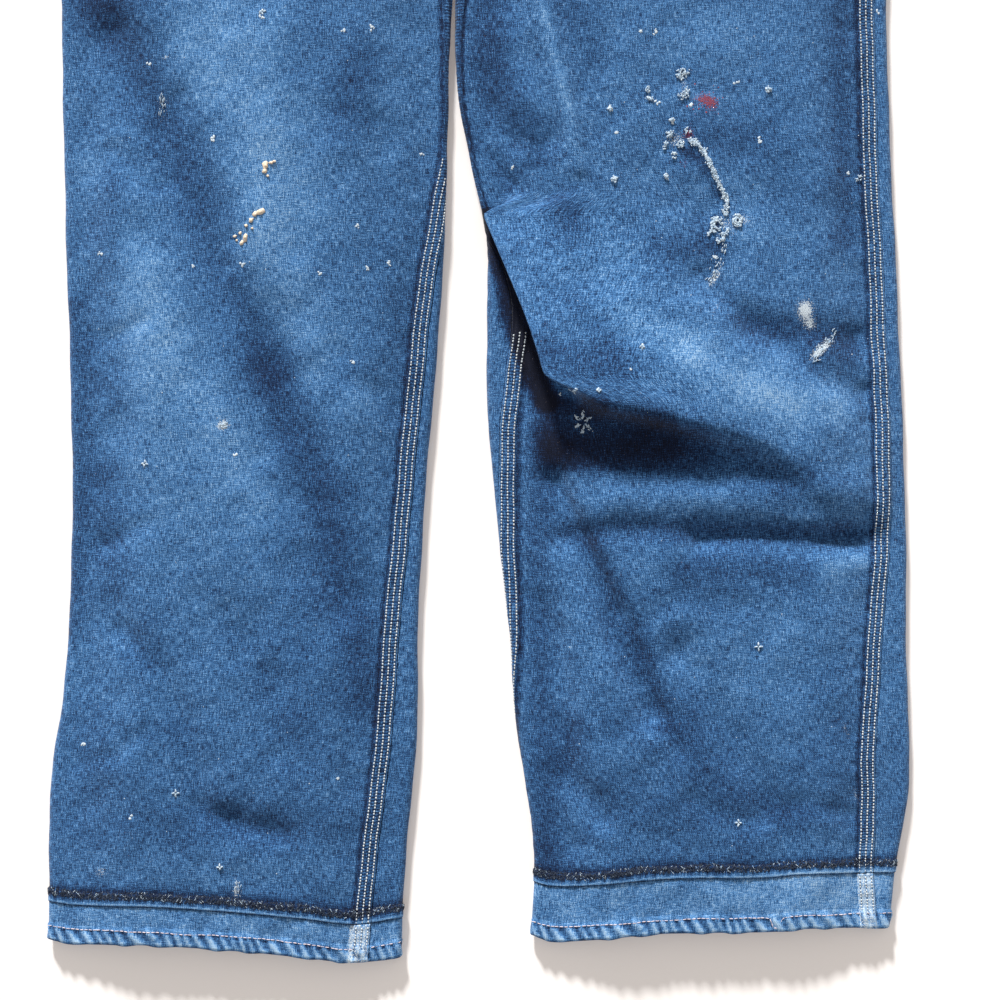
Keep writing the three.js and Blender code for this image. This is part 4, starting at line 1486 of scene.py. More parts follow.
@dataclass
class Stitching:
    """Rows of stitches on the legs and hems."""

    pitch: float = 2.3
    length: float = 1.85
    radius: float = 0.56

    def row(self, strands: Strands, leg: Leg, s: Grid, v: Grid, lift: Grid | float,
            radius: float) -> None:
        """Sews one row.

        Args:
            strands: the threads so far.
            leg: the leg that it is on.
            s: cloth places along the row, closely spaced.
            v: their heights.
            lift: how far the surface stands off the leg's form there.
            radius: the thread's.
        """
        line = leg.point(s, v)
        run = np.concatenate(([0], np.cumsum(np.linalg.norm(np.diff(line, axis=0), axis=1))))
        count = int(run[-1] / self.pitch)
        if count < 1:
            return
        rng = np.random.default_rng(int(abs(run[-1]) * 7))
        start = (np.arange(count) + 0.15 * rng.uniform(-1, 1, count)) * self.pitch
        lift = np.broadcast_to(lift, s.shape)

        def on_row(places: Grid) -> tuple[Grid, Grid]:
            """Points of thread at distances along the row, and the outward direction at each."""
            across = np.interp(places, run, s) + 0.12 * rng.uniform(-1, 1, count)
            upper = on_top(leg.point(across, np.interp(places, run, v)))
            off = np.interp(places, run, lift) * upper + 0.12 - 0.6 * (1 - upper)
            return leg.skin(across, np.interp(places, run, v), off)

        a, up = on_row(np.maximum(start, 0))
        b, _ = on_row(np.minimum(start + self.length, run[-1]))
        strands.add(a, b, up, radius * rng.uniform(0.85, 1.15, count))

    def build(self, place: Place, wardrobe: Wardrobe) -> list[Thing]:
        """Sews the long seams and the hems, and frays the joint between leg and hem.

        Args:
            place: where the pattern lies.
            wardrobe: the finishes.

        Returns:
            The joined stitches, one object for each seam thread.
        """
        made = []
        for leg in (RIGHT_LEG, LEFT_LEG):
            seams, hems = Strands(), Strands()
            self.long_seams(seams, leg)
            Stitching(3.3, 3.2).hem_rows(hems, leg)
            side = leg.side.value
            made.append(seams.build(place, f"{side}_leg_stitching", wardrobe.thread))
            made.append(hems.build(place, f"{side}_hem_stitching", wardrobe.hem_thread))
            made += self.overlock(place, wardrobe, leg)
        return made

    def long_seams(self, strands: Strands, leg: Leg) -> None:
        """Three rows down each lapped edge of the front, out of sight where the inseam rolls under.

        Args:
            strands: the threads so far.
            leg: the leg.
        """
        for low, high in ((1.0, leg.band - 1), (leg.band + 0.5, CROTCH - 1), (CROTCH + FOLD + 1, WAIST - 2)):
            v = np.arange(low, high, 0.75)
            start, end = leg.seams(Face.FRONT, v)
            for number, depth in enumerate(SEAM_ROWS):
                lift = leg.lap_lift(np.full(v.shape, depth), v) + 0.12
                rolled = (v > (454 if leg.lipped else 552 + 14 * number)) & (v < CROTCH)
                left, right = (rolled, v < 0) if leg.lipped else (v < 0, rolled)
                if not (leg.lipped and low > CROTCH):
                    self.row(strands, leg, (start + depth)[~left], v[~left], lift[~left], self.radius)
                self.row(strands, leg, (end - depth)[~right], v[~right], lift[~right], self.radius)

    def hem_rows(self, strands: Strands, leg: Leg) -> None:
        """One row round the hem, with a broken loop hanging from it on the left leg.

        Args:
            strands: the threads so far.
            leg: the leg.
        """
        for face in Face:
            band = HemBand(leg, face)
            v0 = np.array((band.row,))
            start, end = (float(e[0]) for e in leg.seams(face, v0))
            s = np.arange(start + 1, end - 1, 0.75)
            v = band.row + 0.5 * np.sin(s / 19) + 0.25 * np.sin(s / 6)
            lift = np.maximum(band.lift(s, v), 0) + 0.1
            if leg.lipped and face is Face.FRONT:
                slack = bell(s - s[-1] + 71, 3.4, 4)
                v, lift = v - 7.5 * slack, lift + 0.5 * slack
            self.row(strands, leg, s, v, lift, 0.34)

    def overlock(self, place: Place, wardrobe: Wardrobe, leg: Leg) -> list[Thing]:
        """The fuzzy dark edge of cut indigo yarns above the joint of leg and hem.

        Args:
            place: where the pattern lies.
            wardrobe: the finishes.
            leg: the leg.

        Returns:
            The fuzz and the flecks.
        """
        rng = np.random.default_rng(60 if leg.lipped else 61)
        strands, flecks = Strands(), Strands()
        for face in Face:
            start, end = (float(e[0]) for e in leg.seams(face, np.array((leg.band + TURNING,))))
            count = int((end - start) / 0.18)
            s = np.sort(rng.uniform(start + 0.5, end - 0.5, count))
            middle = leg.band + 7.6 + 0.5 * np.sin(s / 9) + rng.uniform(-2.4, 2.4, count)
            lean = rng.choice((-1, 1), count) * rng.uniform(0.1, 1.3, count)
            half = rng.uniform(0.5, 1.6, count)
            stand = np.where(middle < leg.band + TURNING, LAP, 0.3)
            a, up = leg.skin(s - lean, middle - half, stand + rng.uniform(-0.1, 0.4, count))
            b, _ = leg.skin(s + lean, middle + half, np.minimum(stand, 0.9) + rng.uniform(-0.1, 0.4, count))
            upper = on_top(a)[:, None]
            low = a - up * (stand[:, None] + 0.4) * (1 - upper)
            high = b - up * (np.minimum(stand, 0.9)[:, None] + 0.4) * (1 - upper)
            pick = rng.uniform(0, 1, count) < 0.14
            strands.add(low[~pick], high[~pick], up[~pick], rng.uniform(0.18, 0.34, (~pick).sum()))
            flecks.add(low[pick], high[pick], up[pick], rng.uniform(0.10, 0.21, pick.sum()))
        return [strands.build(place, f"{leg.side.value}_hem_fuzz", wardrobe.navy),
                flecks.build(place, f"{leg.side.value}_hem_flecks", wardrobe.fray)]


# ---- Paint and mends ---------------------------------------------------------------------------

class PaintWork:
    """Spatters, dabs and stains of paint, and the darns and frayed rip on the legs."""

    soft: tuple[Patch, ...] = tuple(Patch(*row) for row in (
        (232, 468, 5.5, 7.0, 1.1), (236, 458, 4.0, 4.0, 0.8),
        (247, 443, 3.0, 8.0, 0.8, -45), (240, 437, 3.0, 6.0, 0.7, -45),
        (-183, 385, 4.6, 2.6, 0.95), (-183, 388, 2.4, 3.8, 0.6),
        (-227, 618, 2.4, 3.2, 0.7), (-227, 606, 1.8, 4.0, 0.55),
        (-224, 649, 4.2, 1.6, 0.6, -30), (-174, 54, 2.2, 8.0, 0.75),
        (-272, 66, 4.5, 4.0, 0.5), (168, 492, 2.4, 9.0, 0.8, -28),
        (140, 590, 8.0, 6.0, 0.5), (176, 528, 10.0, 9.0, 0.42), (189, 533, 5, 4, 0.5),
        (146, 628, 4, 9, 0.4), (168, 470, 2.4, 9.0, 0.3, -28),
        (262, 168, 1.6, 6.0, 0.5, 20), (270, 120, 1.6, 7.0, 0.5, 15)))
    reds: tuple[Patch, ...] = tuple(Patch(*row) for row in (
        (162, 618, 7.0, 4.6, 0.82, -15), (166, 613, 3.6, 5.6, 0.4), (154, 620, 5, 2, 0.35),
        (149, 594, 3.6, 4.8, 0.85), (145.5, 573, 2.6, 3.0, 0.5)))
    rip: Run = ((149, 590), (157, 585), (163, 575.5), (168, 563.5), (173, 554), (177, 545), (175.5, 538))
    whites: Run = (
        (-155, 681), (-155, 677), (-98, 668), (-76, 670), (-42, 581), (-87, 529), (-80, 498),
        (-91, 432), (-114, 494), (-64, 501), (-170, 501), (-174, 365), (-273, 509), (-285, 157),
        (-250, 107), (-101, 133), (-205, 500), (93, 612), (137, 603), (133, 564), (23, 572),
        (206, 626), (115, 666), (125, 667), (265, 567), (116, 442), (107, 425), (287, 683),
        (68, 410), (84, 410), (145, 622), (151, 615), (184, 631), (121, 620), (126, 617),
        (98, 595), (173, 519), (168, 505), (57, 408), (200, 590), (-236, 646), (-190, 590))
    crosses: tuple[tuple[float, float, float], ...] = (
        (-239, 358.5, 4.4), (-217.5, 123, 4.6), (-186, 70, 3.8), (-155, 681, 4.0),
        (96, 562, 4.8), (199, 228, 5.2), (185, 101.5, 4.2), (206, 626, 4.0), (93, 612, 3.4),
        (147, 637, 4.8), (144, 634, 3.4), (115, 441, 3.2), (68, 410, 3.0), (84, 410, 3.0))
    creams: tuple[tuple[float, float, float, float, float], ...] = (
        (-152.6, 571, 2.3, 80, 1.8), (-153.4, 567, 1.6, 60, 1.2), (-148.5, 573, 1.2, 20, 1.5),
        (-146.2, 574, 1.0, 0, 1.2), (-151, 563.5, 0.9, 0, 1.0), (-156.5, 538, 2.2, 20, 1.7),
        (-160, 536, 1.6, 50, 1.4), (-163, 532, 1.5, 60, 1.5), (-166.5, 528, 1.2, 0, 1.0),
        (-171, 523, 1.1, 0, 1.3), (-175, 521, 1.2, 10, 1.4), (-167, 520, 1.9, 60, 1.8),
        (-170, 516, 1.5, 40, 1.4), (-173.5, 518, 0.9, 0, 1.0), (-162, 526, 0.8, 0, 1.0))

    eyes: tuple[tuple[float, float, float, int], ...] = ((169.5, 529, 6.2, 110), (184, 532, 4.4, 130))
    tangles: tuple[tuple[float, float, float, int], ...] = (
        (174, 520.5, 3.6, 60), (170, 517, 2.0, 20), (175.5, 538, 3.0, 50), (164.5, 524, 2.4, 26),
        (135.5, 593.5, 3.8, 56), (132.5, 585.5, 2.6, 34), (144, 587, 3.4, 44), (138.6, 580, 2.2, 24),
        (136.7, 604, 2.0, 18), (147.5, 598, 2.2, 18), (154, 586, 3.0, 50), (168, 563, 2.4, 34),
        (144.5, 637, 4.2, 44), (147, 622.5, 4.2, 46), (120.6, 619, 2.6, 24), (120.6, 626, 2.0, 12),
        (96, 562, 3.0, 34), (206, 626, 2.2, 16),
        (93, 612, 2.0, 14), (272, 564, 2.4, 16), (133, 564, 1.8, 14))
    scuffs: tuple[tuple[float, float, float], ...] = (
        (167, 496, 1.2), (164, 488, 1.1), (170, 503, 1.2), (174, 512, 1.2), (244, 441, 0.9),
        (239, 434, 0.9), (249, 447, 0.9), (252, 452, 0.9), (-174, 56, 1.6), (-227, 612, 1.6),
        (-227, 620, 1.5), (-183, 386, 0.2))

    def soaked(self, x: Grid, y: Grid) -> tuple[Grid, Grid]:
        """How much white and how much red paint has soaked in at each place.

        Args:
            x, y: places in the pattern.

        Returns:
            The white and the red.
        """
        zero = np.zeros(np.shape(x))
        white = zero + sum(p.strength(x, y) for p in self.soft)
        return white, zero + sum(p.strength(x, y) for p in self.reds)

    @staticmethod
    def touch(x: Grid, y: Grid, above: Grid | float = 0.0) -> tuple[Grid, Grid]:
        """The cloth's surface under each (x, y), raised, and its outward direction there.

        Args:
            x, y: places in the pattern.
            above: how far to raise it.

        Returns:
            The points and the directions.
        """
        x, y, above = np.broadcast_arrays(np.asarray(x, float), np.asarray(y, float), above)
        point, out = np.zeros((*x.shape, 3)), np.zeros((*x.shape, 3))
        for leg, on in ((RIGHT_LEG, x < -20), (LEFT_LEG, x >= -20)):
            if on.any():
                point[on], out[on] = leg.skin(*leg.place_of(x[on], y[on]), above[on])
        return point, out

    def build(self, place: Place, wardrobe: Wardrobe) -> list[Thing]:
        """Makes every lump, darn and frayed thread.

        Args:
            place: where the pattern lies.
            wardrobe: the finishes.

        Returns:
            The joined objects.
        """
        rng = np.random.default_rng(17)
        white, cream, red = Crusts(1), Crusts(2), Crusts(3)
        spots = np.repeat(np.asarray(self.whites, float), 4, axis=0)
        spots += rng.normal(0, 0.85, spots.shape)
        many = len(spots)
        white.add(*self.touch(*spots.T), rng.uniform(0.4, 0.95, many), 0.3,
                  rng.uniform(0, 180, many), rng.uniform(1, 1.8, many))
        fine = rng.uniform((-290, 60), (285, 690), (110, 2))
        fine = fine[(fine[:, 0] < -62) | (fine[:, 0] > 45)]
        white.add(*self.touch(*fine.T), rng.uniform(0.2, 0.42, len(fine)), 0.2)
        x, y, size, turn, long = np.asarray(self.creams, float).T
        cream.add(*self.touch(x, y), size, 1.0, turn, long)
        cream.add(*self.touch(x + 0.4, y - 0.3), size * 0.6, 1.5, turn + 30, 1.2)
        dots = rng.normal((161.5, 617.5), (5.4, 4.2), (60, 2))
        red.add(*self.touch(*dots.T), rng.uniform(0.3, 0.7, 60), 0.14)
        self.threads: list[tuple[Grid, ...]] = []
        for x0, y0, reach in self.crosses:
            self.cross(rng, x0, y0, reach)
        self.flower(rng)
        self.mended_rip(rng)
        darn = Strands()
        x, y, turn, length, radius, loft = (np.concatenate(c) for c in zip(*self.threads))
        dx, dy = np.cos(turn) * length / 2, np.sin(turn) * length / 2
        a, up = self.touch(x - dx, y - dy, 0.15 + loft * rng.uniform(0, 1, x.shape))
        b, _ = self.touch(x + dx, y + dy, 0.15 + loft * rng.uniform(0, 1, x.shape))
        darn.add(a, b, up, radius)
        return [white.build(place, "white_paint_specks", wardrobe.white),
                cream.build(place, "cream_paint_crusts", wardrobe.cream),
                red.build(place, "red_paint_specks", wardrobe.red),
                darn.build(place, "darns_and_fray", wardrobe.fray)]

    def tufts(self, x: Grid, y: Grid, turn: Grid, length: Grid | float, radius: Grid | float,
              loft: float = 0.5) -> None:
        """Notes short threads that lie on the cloth.

        Args:
            x: where their middles are.
            y: where their middles are.
            turn: their directions, in radians from +X.
            length: their lengths.
            radius: their thickness.
            loft: how far off the cloth their ends may lift.
        """
        parts = (x, y, turn, length, radius, loft)
        self.threads.append(tuple(np.array(np.broadcast_to(a, x.shape), float) for a in parts))

    def cross(self, rng: np.random.Generator, x: float, y: float, size: float) -> None:
        """A small four-armed darn.

        Args:
            rng: random draws.
            x, y: its middle.
            size: its reach.
        """
        turn = np.repeat(np.arange(4) * math.pi / 2 + rng.uniform(-0.2, 0.2), 5)
        reach = size * rng.uniform(0.22, 0.46, 20)
        self.tufts(x + np.cos(turn) * reach + rng.normal(0, 0.2, 20),
                   y + np.sin(turn) * reach + rng.normal(0, 0.2, 20),
                   turn + rng.normal(0, 0.35, 20), size * 0.45, rng.uniform(0.3, 0.48, 20))

    def flower(self, rng: np.random.Generator) -> None:
        """The six-armed darn in the hollow under the knee.

        Args:
            rng: random draws.
        """
        turn = np.repeat(np.arange(6) * math.pi / 3 + 0.5, 9)
        reach = rng.uniform(2.6, 6.0, 54)
        self.tufts(73.4 + np.cos(turn) * reach + rng.normal(0, 0.5, 54),
                   388 + np.sin(turn) * reach * 1.25 + rng.normal(0, 0.5, 54),
                   turn + rng.normal(0, 0.6, 54), 2.3, rng.uniform(0.3, 0.48, 54))

    def mended_rip(self, rng: np.random.Generator) -> None:
        """The long rip drawn together with knotted thread, and the tangles along it.

        Args:
            rng: random draws.
        """
        run = np.asarray(self.rip, dtype=float)
        gone = np.concatenate(([0], np.cumsum(np.hypot(*np.diff(run, axis=0).T))))
        at = rng.uniform(0, gone[-1], 520)
        knots = 0.35 + 0.9 * np.abs(np.sin(at / 2.9)) ** 2
        x, y = np.interp(at, gone, run[:, 0]), np.interp(at, gone, run[:, 1])
        ahead = np.arctan2(np.interp(at + 1, gone, run[:, 1]) - y, np.interp(at + 1, gone, run[:, 0]) - x)
        self.tufts(x + rng.normal(0, 0.9, 520) * knots, y + rng.normal(0, 0.9, 520) * knots,
                   ahead + rng.normal(0, 0.9, 520), rng.uniform(1.3, 3.0, 520),
                   rng.uniform(0.3, 0.55, 520), 1.6)
        for cx, cy, spread, count in self.eyes:
            around = rng.vonmises(3.0, 0.9, count) if spread > 5 else rng.uniform(0, TURN, count)
            out = spread * rng.uniform(0.35, 1.1, count)
            self.tufts(cx + np.cos(around) * out * 0.75, cy + np.sin(around) * out,
                       around + 1.57 + rng.normal(0, 0.4, count), rng.uniform(1.2, 3.0, count),
                       rng.uniform(0.3, 0.55, count), 1.6)
        for cx, cy, spread, count in self.tangles:
            lobes = rng.normal(0, spread * 0.5, (4, 2))[rng.integers(0, 4, count)]
            off = lobes + rng.normal(0, spread * 0.24, (count, 2))
            arm = np.arctan2(off[:, 1], off[:, 0])
            self.tufts(cx + off[:, 0], cy + off[:, 1], arm + rng.normal(0, 0.9, count),
                       rng.uniform(1.0, 2.4, count), rng.uniform(0.28, 0.55, count), 1.3)
        for cx, cy, turn in self.scuffs:
            self.tufts(cx + rng.normal(0, 1.4, 9), cy + rng.normal(0, 1.8, 9),
                       turn + rng.normal(0, 0.3, 9), rng.uniform(1.5, 4, 9), 0.26)


# ---- Waistband, bib, yoke and straps -----------------------------------------------------------

def bib_height(x: Grid, y: Grid) -> Grid:
    """Height of the bib's outside.

    Args:
        x, y: places in the pattern.

    Returns:
        The heights.
    """
    left, right, _ = RIGHT_LEG.edges(np.array(WAISTBAND_TOP))
    from_side = np.minimum(x - left, right - x) - FOLD
    waist = 2 * FOLD + LAP + float(along(PUFF, WAISTBAND_TOP)) * smooth(from_side / PUFF_RUN)
    side = smooth((along(BIB_HALF, y) - np.abs(x)) / 80)
    dome = BIB_EDGE + BIB_DOME * side * smooth((BIB_TOP - y) / 150)
    z = waist + (dome - waist) * smooth((y - WAISTBAND_TOP) / 90)
    inner = side * smooth((BIB_TOP - y) / 40) * smooth((y - WAISTBAND_TOP) / 40)
    return z + (1.0 * rumple(x, y, 60, 51) + 0.4 * rumple(x, y, 24, 52)) * inner


@dataclass
class Bib:
    """The bib: one panel with a turned top edge and turned sides, stitched twice round."""

    step: float = 3.5

    def build(self, place: Place, wardrobe: Wardrobe) -> list[Thing]:
        """Makes the bib and its stitching.

        Args:
            place: where the pattern lies.
            wardrobe: the finishes.

        Returns:
            The bib and its stitches.
        """
        rise = np.arange(WAISTBAND_TOP + GAP, BIB_TOP - 1, self.step)
        y = np.concatenate((rise, (BIB_TOP - 0.6, BIB_TOP)))
        t = np.concatenate(((-1, -0.996), np.linspace(-0.985, 0.985, 74), (0.996, 1)))
        x = along(BIB_HALF, y)[:, None] * t
        high = np.broadcast_to(y[:, None], x.shape)
        edge = np.minimum(along(BIB_HALF, high) - np.abs(x), BIB_TOP - high)
        turned = 1 - smooth((edge - 14) / 1.5)
        pucker = 0.18 * np.sin((x + high) * TURN / 8.5) * turned
        z = bib_height(x, high) + 0.5 * turned * smooth(edge / 0.8 + 0.3) + pucker
        outside = np.stack((x, high, z), -1)
        inside = np.stack((x, high, bib_height(x, high) - CLOTH), -1)
        wear_and_shade = 0.06 * rumple(x, high, 40, 53) + 0.12 * bell(edge - 0.5, 1.2)
        wear_and_shade = wear_and_shade + Patch(0, 1180, 90, 70, 0.14).strength(x, high) - 0.2 * bell(edge - 14.6, 1.0)
        cloth = np.stack((x, high, np.zeros(x.shape)), -1)
        bib = Shell(outside, inside, cloth, wear_and_shade).build(place, "bib_denim", wardrobe.denim)
        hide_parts("bib")
        rows = Strands()
        for inset in (2.6, 6.8, 12.6):
            self.edge_row(rows, inset)
        return [bib, rows.build(place, "bib_stitching", wardrobe.thread)]

    @staticmethod
    def edge_row(rows: Strands, inset: float) -> None:
        """Sews one row round the bib's free edges, at the given distance from them.

        Args:
            rows: the threads so far.
            inset: the distance.
        """
        up_side = np.arange(WAISTBAND_TOP + 3, BIB_TOP - inset, 2.3)
        half = along(BIB_HALF, up_side) - inset
        corner = float(along(BIB_HALF, BIB_TOP)) - inset
        top_x = np.arange(-corner, corner, 2.3)
        for x, y, dx, dy in ((-half, up_side, 0.0, 1.75), (half, up_side, 0.0, 1.75),
                             (top_x, np.full(top_x.shape, BIB_TOP - inset), 1.75, 0.0)):
            a = np.stack((x, y, bib_height(x, y) + 0.75), -1)
            b = np.stack((x + dx, y + dy, bib_height(x + dx, y + dy) + 0.75), -1)
            rows.add(a, b, np.broadcast_to(UP, a.shape), 0.38)


@dataclass
class WaistPieces:
    """The waistband in front and the yoke behind."""

    def band(self, place: Place, wardrobe: Wardrobe) -> list[Thing]:
        """Makes the waistband and its three rows of stitches.

        Args:
            place: where the pattern lies.
            wardrobe: the finishes.

        Returns:
            The waistband and its stitches.
        """
        leg = RIGHT_LEG
        v = np.array((
            WAIST, WAIST + 0.5, WAIST + 1.4, *np.arange(WAIST + 4, WAISTBAND_TOP - 3, 3.0),
            WAISTBAND_TOP - 1.4, WAISTBAND_TOP - 0.5, WAISTBAND_TOP))
        _, _, span = leg.edges(v)
        s = SIDE_LAP + (span - 2 * SIDE_LAP)[:, None] * np.linspace(0, 1, 170)
        high = np.broadcast_to(v[:, None], s.shape)
        base, out = leg.skin(s, high, 0.0)
        edge = np.minimum(high - WAIST, WAISTBAND_TOP - high)
        puff = 0.3 * np.sin(s * TURN / 12 + np.sin(s / 19)) * np.exp(-edge / 5)
        outside = base + out * (LAP * smooth(edge / 1.2 + 0.5) + 0.2 + puff)[..., None]
        inside = base - out * CLOTH
        wear_and_shade = 0.16 * bell(edge - 0.4, 1.3) + 0.08 * rumple(s, high, 26, 55)
        cloth = np.stack((high, s, np.zeros(s.shape)), -1)
        band = Shell(outside, inside, cloth, wear_and_shade).build(place, "waistband_denim", wardrobe.denim)
        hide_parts("waistband")
        rows, sewing = Strands(), Stitching()
        for height in (WAIST + 2.6, WAIST + 6.8, WAISTBAND_TOP - 2.6):
            across = np.arange(SIDE_LAP + 2, float(span[0]) - SIDE_LAP - 2, 0.8)
            sewing.row(rows, leg, across, np.full(across.shape, height), LAP + 0.25, 0.38)
        return [band, rows.build(place, "waistband_stitching", wardrobe.thread)]

    def yoke(self, place: Place, wardrobe: Wardrobe) -> list[Thing]:
        """Makes the back yoke, whose ends wrap forward under the side buttons.

        Args:
            place: where the pattern lies.
            wardrobe: the finishes.

        Returns:
            The yoke and its stitches.
        """
        leg = RIGHT_LEG
        v = np.concatenate((np.arange(WAIST, 1085, 2.5), np.arange(1085, YOKE_TOP - 1, 3.5), (YOKE_TOP,)))
        table = np.asarray(YOKE_EDGE)
        edge = np.interp(v, table[:, 0], table[:, 1])
        _, _, span = leg.edges(v)
        start, end = span - edge, 2 * span + edge
        stops = [(np.maximum(span + 12, start + 6), 1.4), (np.minimum(2 * span - 12, end - 6), 5.5)]
        s = columns(start, end, False, 2.0, stops)
        high = np.broadcast_to(v[:, None], s.shape)
        base, out = leg.skin(s, high, 0.0)
        upper = on_top(base)
        near = np.minimum(s - start[:, None], end[:, None] - s)
        outside = base + out * (0.25 * (1 - smooth((near - 12) / 2)) * upper)[..., None]
        inside = base - out * CLOTH
        wear_and_shade = 0.08 * rumple(base[..., 0], high, 34, 57) + 0.14 * bell(near - 0.5, 1.4)
        cloth = np.stack((s, high, np.zeros(s.shape)), -1)
        yoke = Shell(outside, inside, cloth, wear_and_shade).build(place, "yoke_denim", wardrobe.denim)
        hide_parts("back_yoke")
        rows = Strands()
        fine = np.arange(1066, YOKE_TOP - 4, 2.2)
        reach = np.interp(fine, table[:, 0], table[:, 1])
        _, _, wide = leg.edges(fine)
        for inset in (2.6, 7.0):
            for side_s in (wide - reach + inset, 2 * wide + reach - inset):
                p = leg.point(side_s, fine) + (0.0, 0.0, CLOTH + 0.2)
                rows.add(p[:-1], p[:-1] + (p[1:] - p[:-1]) * 0.78,
                         np.broadcast_to(UP, p[1:].shape), 0.36)
        return [yoke, rows.build(place, "yoke_stitching", wardrobe.thread)]


STRAP_WIDTH, STRAP, WIRE = 38.0, 2.4, 1.25
BUCKLE = np.array((98.0, 1278.0, 14.1))
LOOP = WIRE + 0.45 + STRAP / 2
RETURN = BUCKLE[2] - LOOP


def half_turn(y: float, z: float, radius: float, away: float, rising: bool) -> list[tuple[float, float]]:
    """(height, level) points of a strap's middle round a half turn.

    Args:
        y, z: the turn's centre.
        radius: the turn's radius.
        away: 1 or -1, the way it bulges.
        rising: whether it ends above where it starts.

    Returns:
        The points.
    """
    angles = (k * math.pi / 12 - math.pi / 2 for k in range(13))
    way = 1 if rising else -1
    return [(y + away * radius * math.cos(a), z + way * radius * math.sin(a)) for a in angles]


@dataclass
class Strap:
    """One strap: from the yoke over the shoulder fold and round the buckle's bar."""

    side: Side

    @property
    def sign(self) -> int:
        """-1 on the wearer's right, 1 on the left."""
        return -1 if self.side is Side.RIGHT else 1

    def line(self) -> Grid:
        """The middle line's (height, level) points, closely spaced.

        Returns:
            An (n, 3) array: distance, height, level.
        """
        points = [
            (YOKE_TOP - 38, 2.7), (YOKE_TOP, 2.7), (YOKE_TOP + 16, STRAP / 2),
            (1300, STRAP / 2), (1380, STRAP / 2),
            *half_turn(SHOULDER - 4.2, STRAP / 2 + 3, 3, 1, True),
            (1404, 5.4), (1380, 4.6), (1362, 6.4), (1344, 12.2),
            (1330, RETURN + STRAP + GAP), (1300, BUCKLE[2] + 0.4),
            *half_turn(float(BUCKLE[1]), float(BUCKLE[2]), LOOP, -1, False),
            (1300, RETURN), (1330, RETURN - 0.4)]
        run = [0.0]
        for a, b in zip(points, points[1:]):
            run.append(run[-1] + math.dist(a, b))
        fine = np.unique(np.concatenate((np.arange(0, run[-1], 2.6), run)))
        y = np.interp(fine, run, [p[0] for p in points])
        z = np.interp(fine, run, [p[1] for p in points])
        return np.stack((fine, y, z), 1)

    def build(self, place: Place, wardrobe: Wardrobe) -> list[Thing]:
        """Makes the strap and its stitching.

        Args:
            place: where the pattern lies.
            wardrobe: the finishes.

        Returns:
            The strap and its stitches.
        """
        run, y, z = self.line().T
        dy, dz = np.gradient(y), np.gradient(z)
        length = np.hypot(dy, dz)
        out = np.stack((np.zeros(len(run)), -dz / length, dy / length), 1)
        middle = along(((0, 74), (265, 86), (400, 98), (480, 98)), run) * self.sign
        t = np.array((-0.5, -0.493, -0.475, *np.linspace(-0.44, 0.44, 16), 0.475, 0.493, 0.5))
        half = STRAP / 2 * np.sqrt(np.clip(1 - ((np.abs(t) - 0.47) / 0.034).clip(0) ** 2, 0.12, 1))
        x = middle[:, None] + t * STRAP_WIDTH + 0.25 * np.sin(run / 9)[:, None]
        spine = np.stack((x, np.broadcast_to(y[:, None], x.shape), np.broadcast_to(z[:, None], x.shape)), -1)
        dent = sum(bell(np.abs(t) * STRAP_WIDTH - d, 0.8) for d in (16.0, 11.5))
        outside = spine + out[:, None, :] * (half - 0.18 * dent)[None, :, None]
        inside = spine - out[:, None, :] * half[None, :, None]
        wear_and_shade = 0.2 * bell(0.5 - np.abs(t), 0.03) + 0.08 * rumple(x, run[:, None], 25, 61)
        cloth = np.stack((x, np.broadcast_to(run[:, None], x.shape), np.zeros(x.shape)), -1)
        name = f"{self.side.value}_strap"
        strap = Shell(outside, inside, cloth, wear_and_shade).build(place, f"{name}_denim", wardrobe.denim)
        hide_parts(name)
        rows = Strands()
        for offset in (-16.0, -11.5, 11.5, 16.0):
            places = np.arange(3, run[-1] - 3, 2.3)
            ends = []
            for at in (places, places + 1.75):
                centre = np.stack([np.interp(at, run, c) for c in (middle + offset, y, z)], 1)
                normal = np.stack([np.interp(at, run, out[:, k]) for k in range(3)], 1)
                ends.append((centre + normal * (STRAP / 2 - 0.02), normal))
            rows.add(ends[0][0], ends[1][0], ends[0][1], 0.36)
        return [strap, rows.build(place, f"{name}_stitching", wardrobe.thread)]


def tube_faces(rings: int, sides: int, closed: bool) -> Grid:
    """The four-sided faces round a tube, whose points go ring by ring.

    Args:
        rings: how many rings it has.
        sides: points in each.
        closed: whether the last ring meets the first.

    Returns:
        An (n, 4) array of corners.
    """
    k, j = np.meshgrid(np.arange(rings if closed else rings - 1), np.arange(sides), indexing="ij")
    here, after, beside = k * sides, (k + 1) % rings * sides, (j + 1) % sides
    return np.stack((here + j, here + beside, after + beside, after + j), -1).reshape(-1, 4)


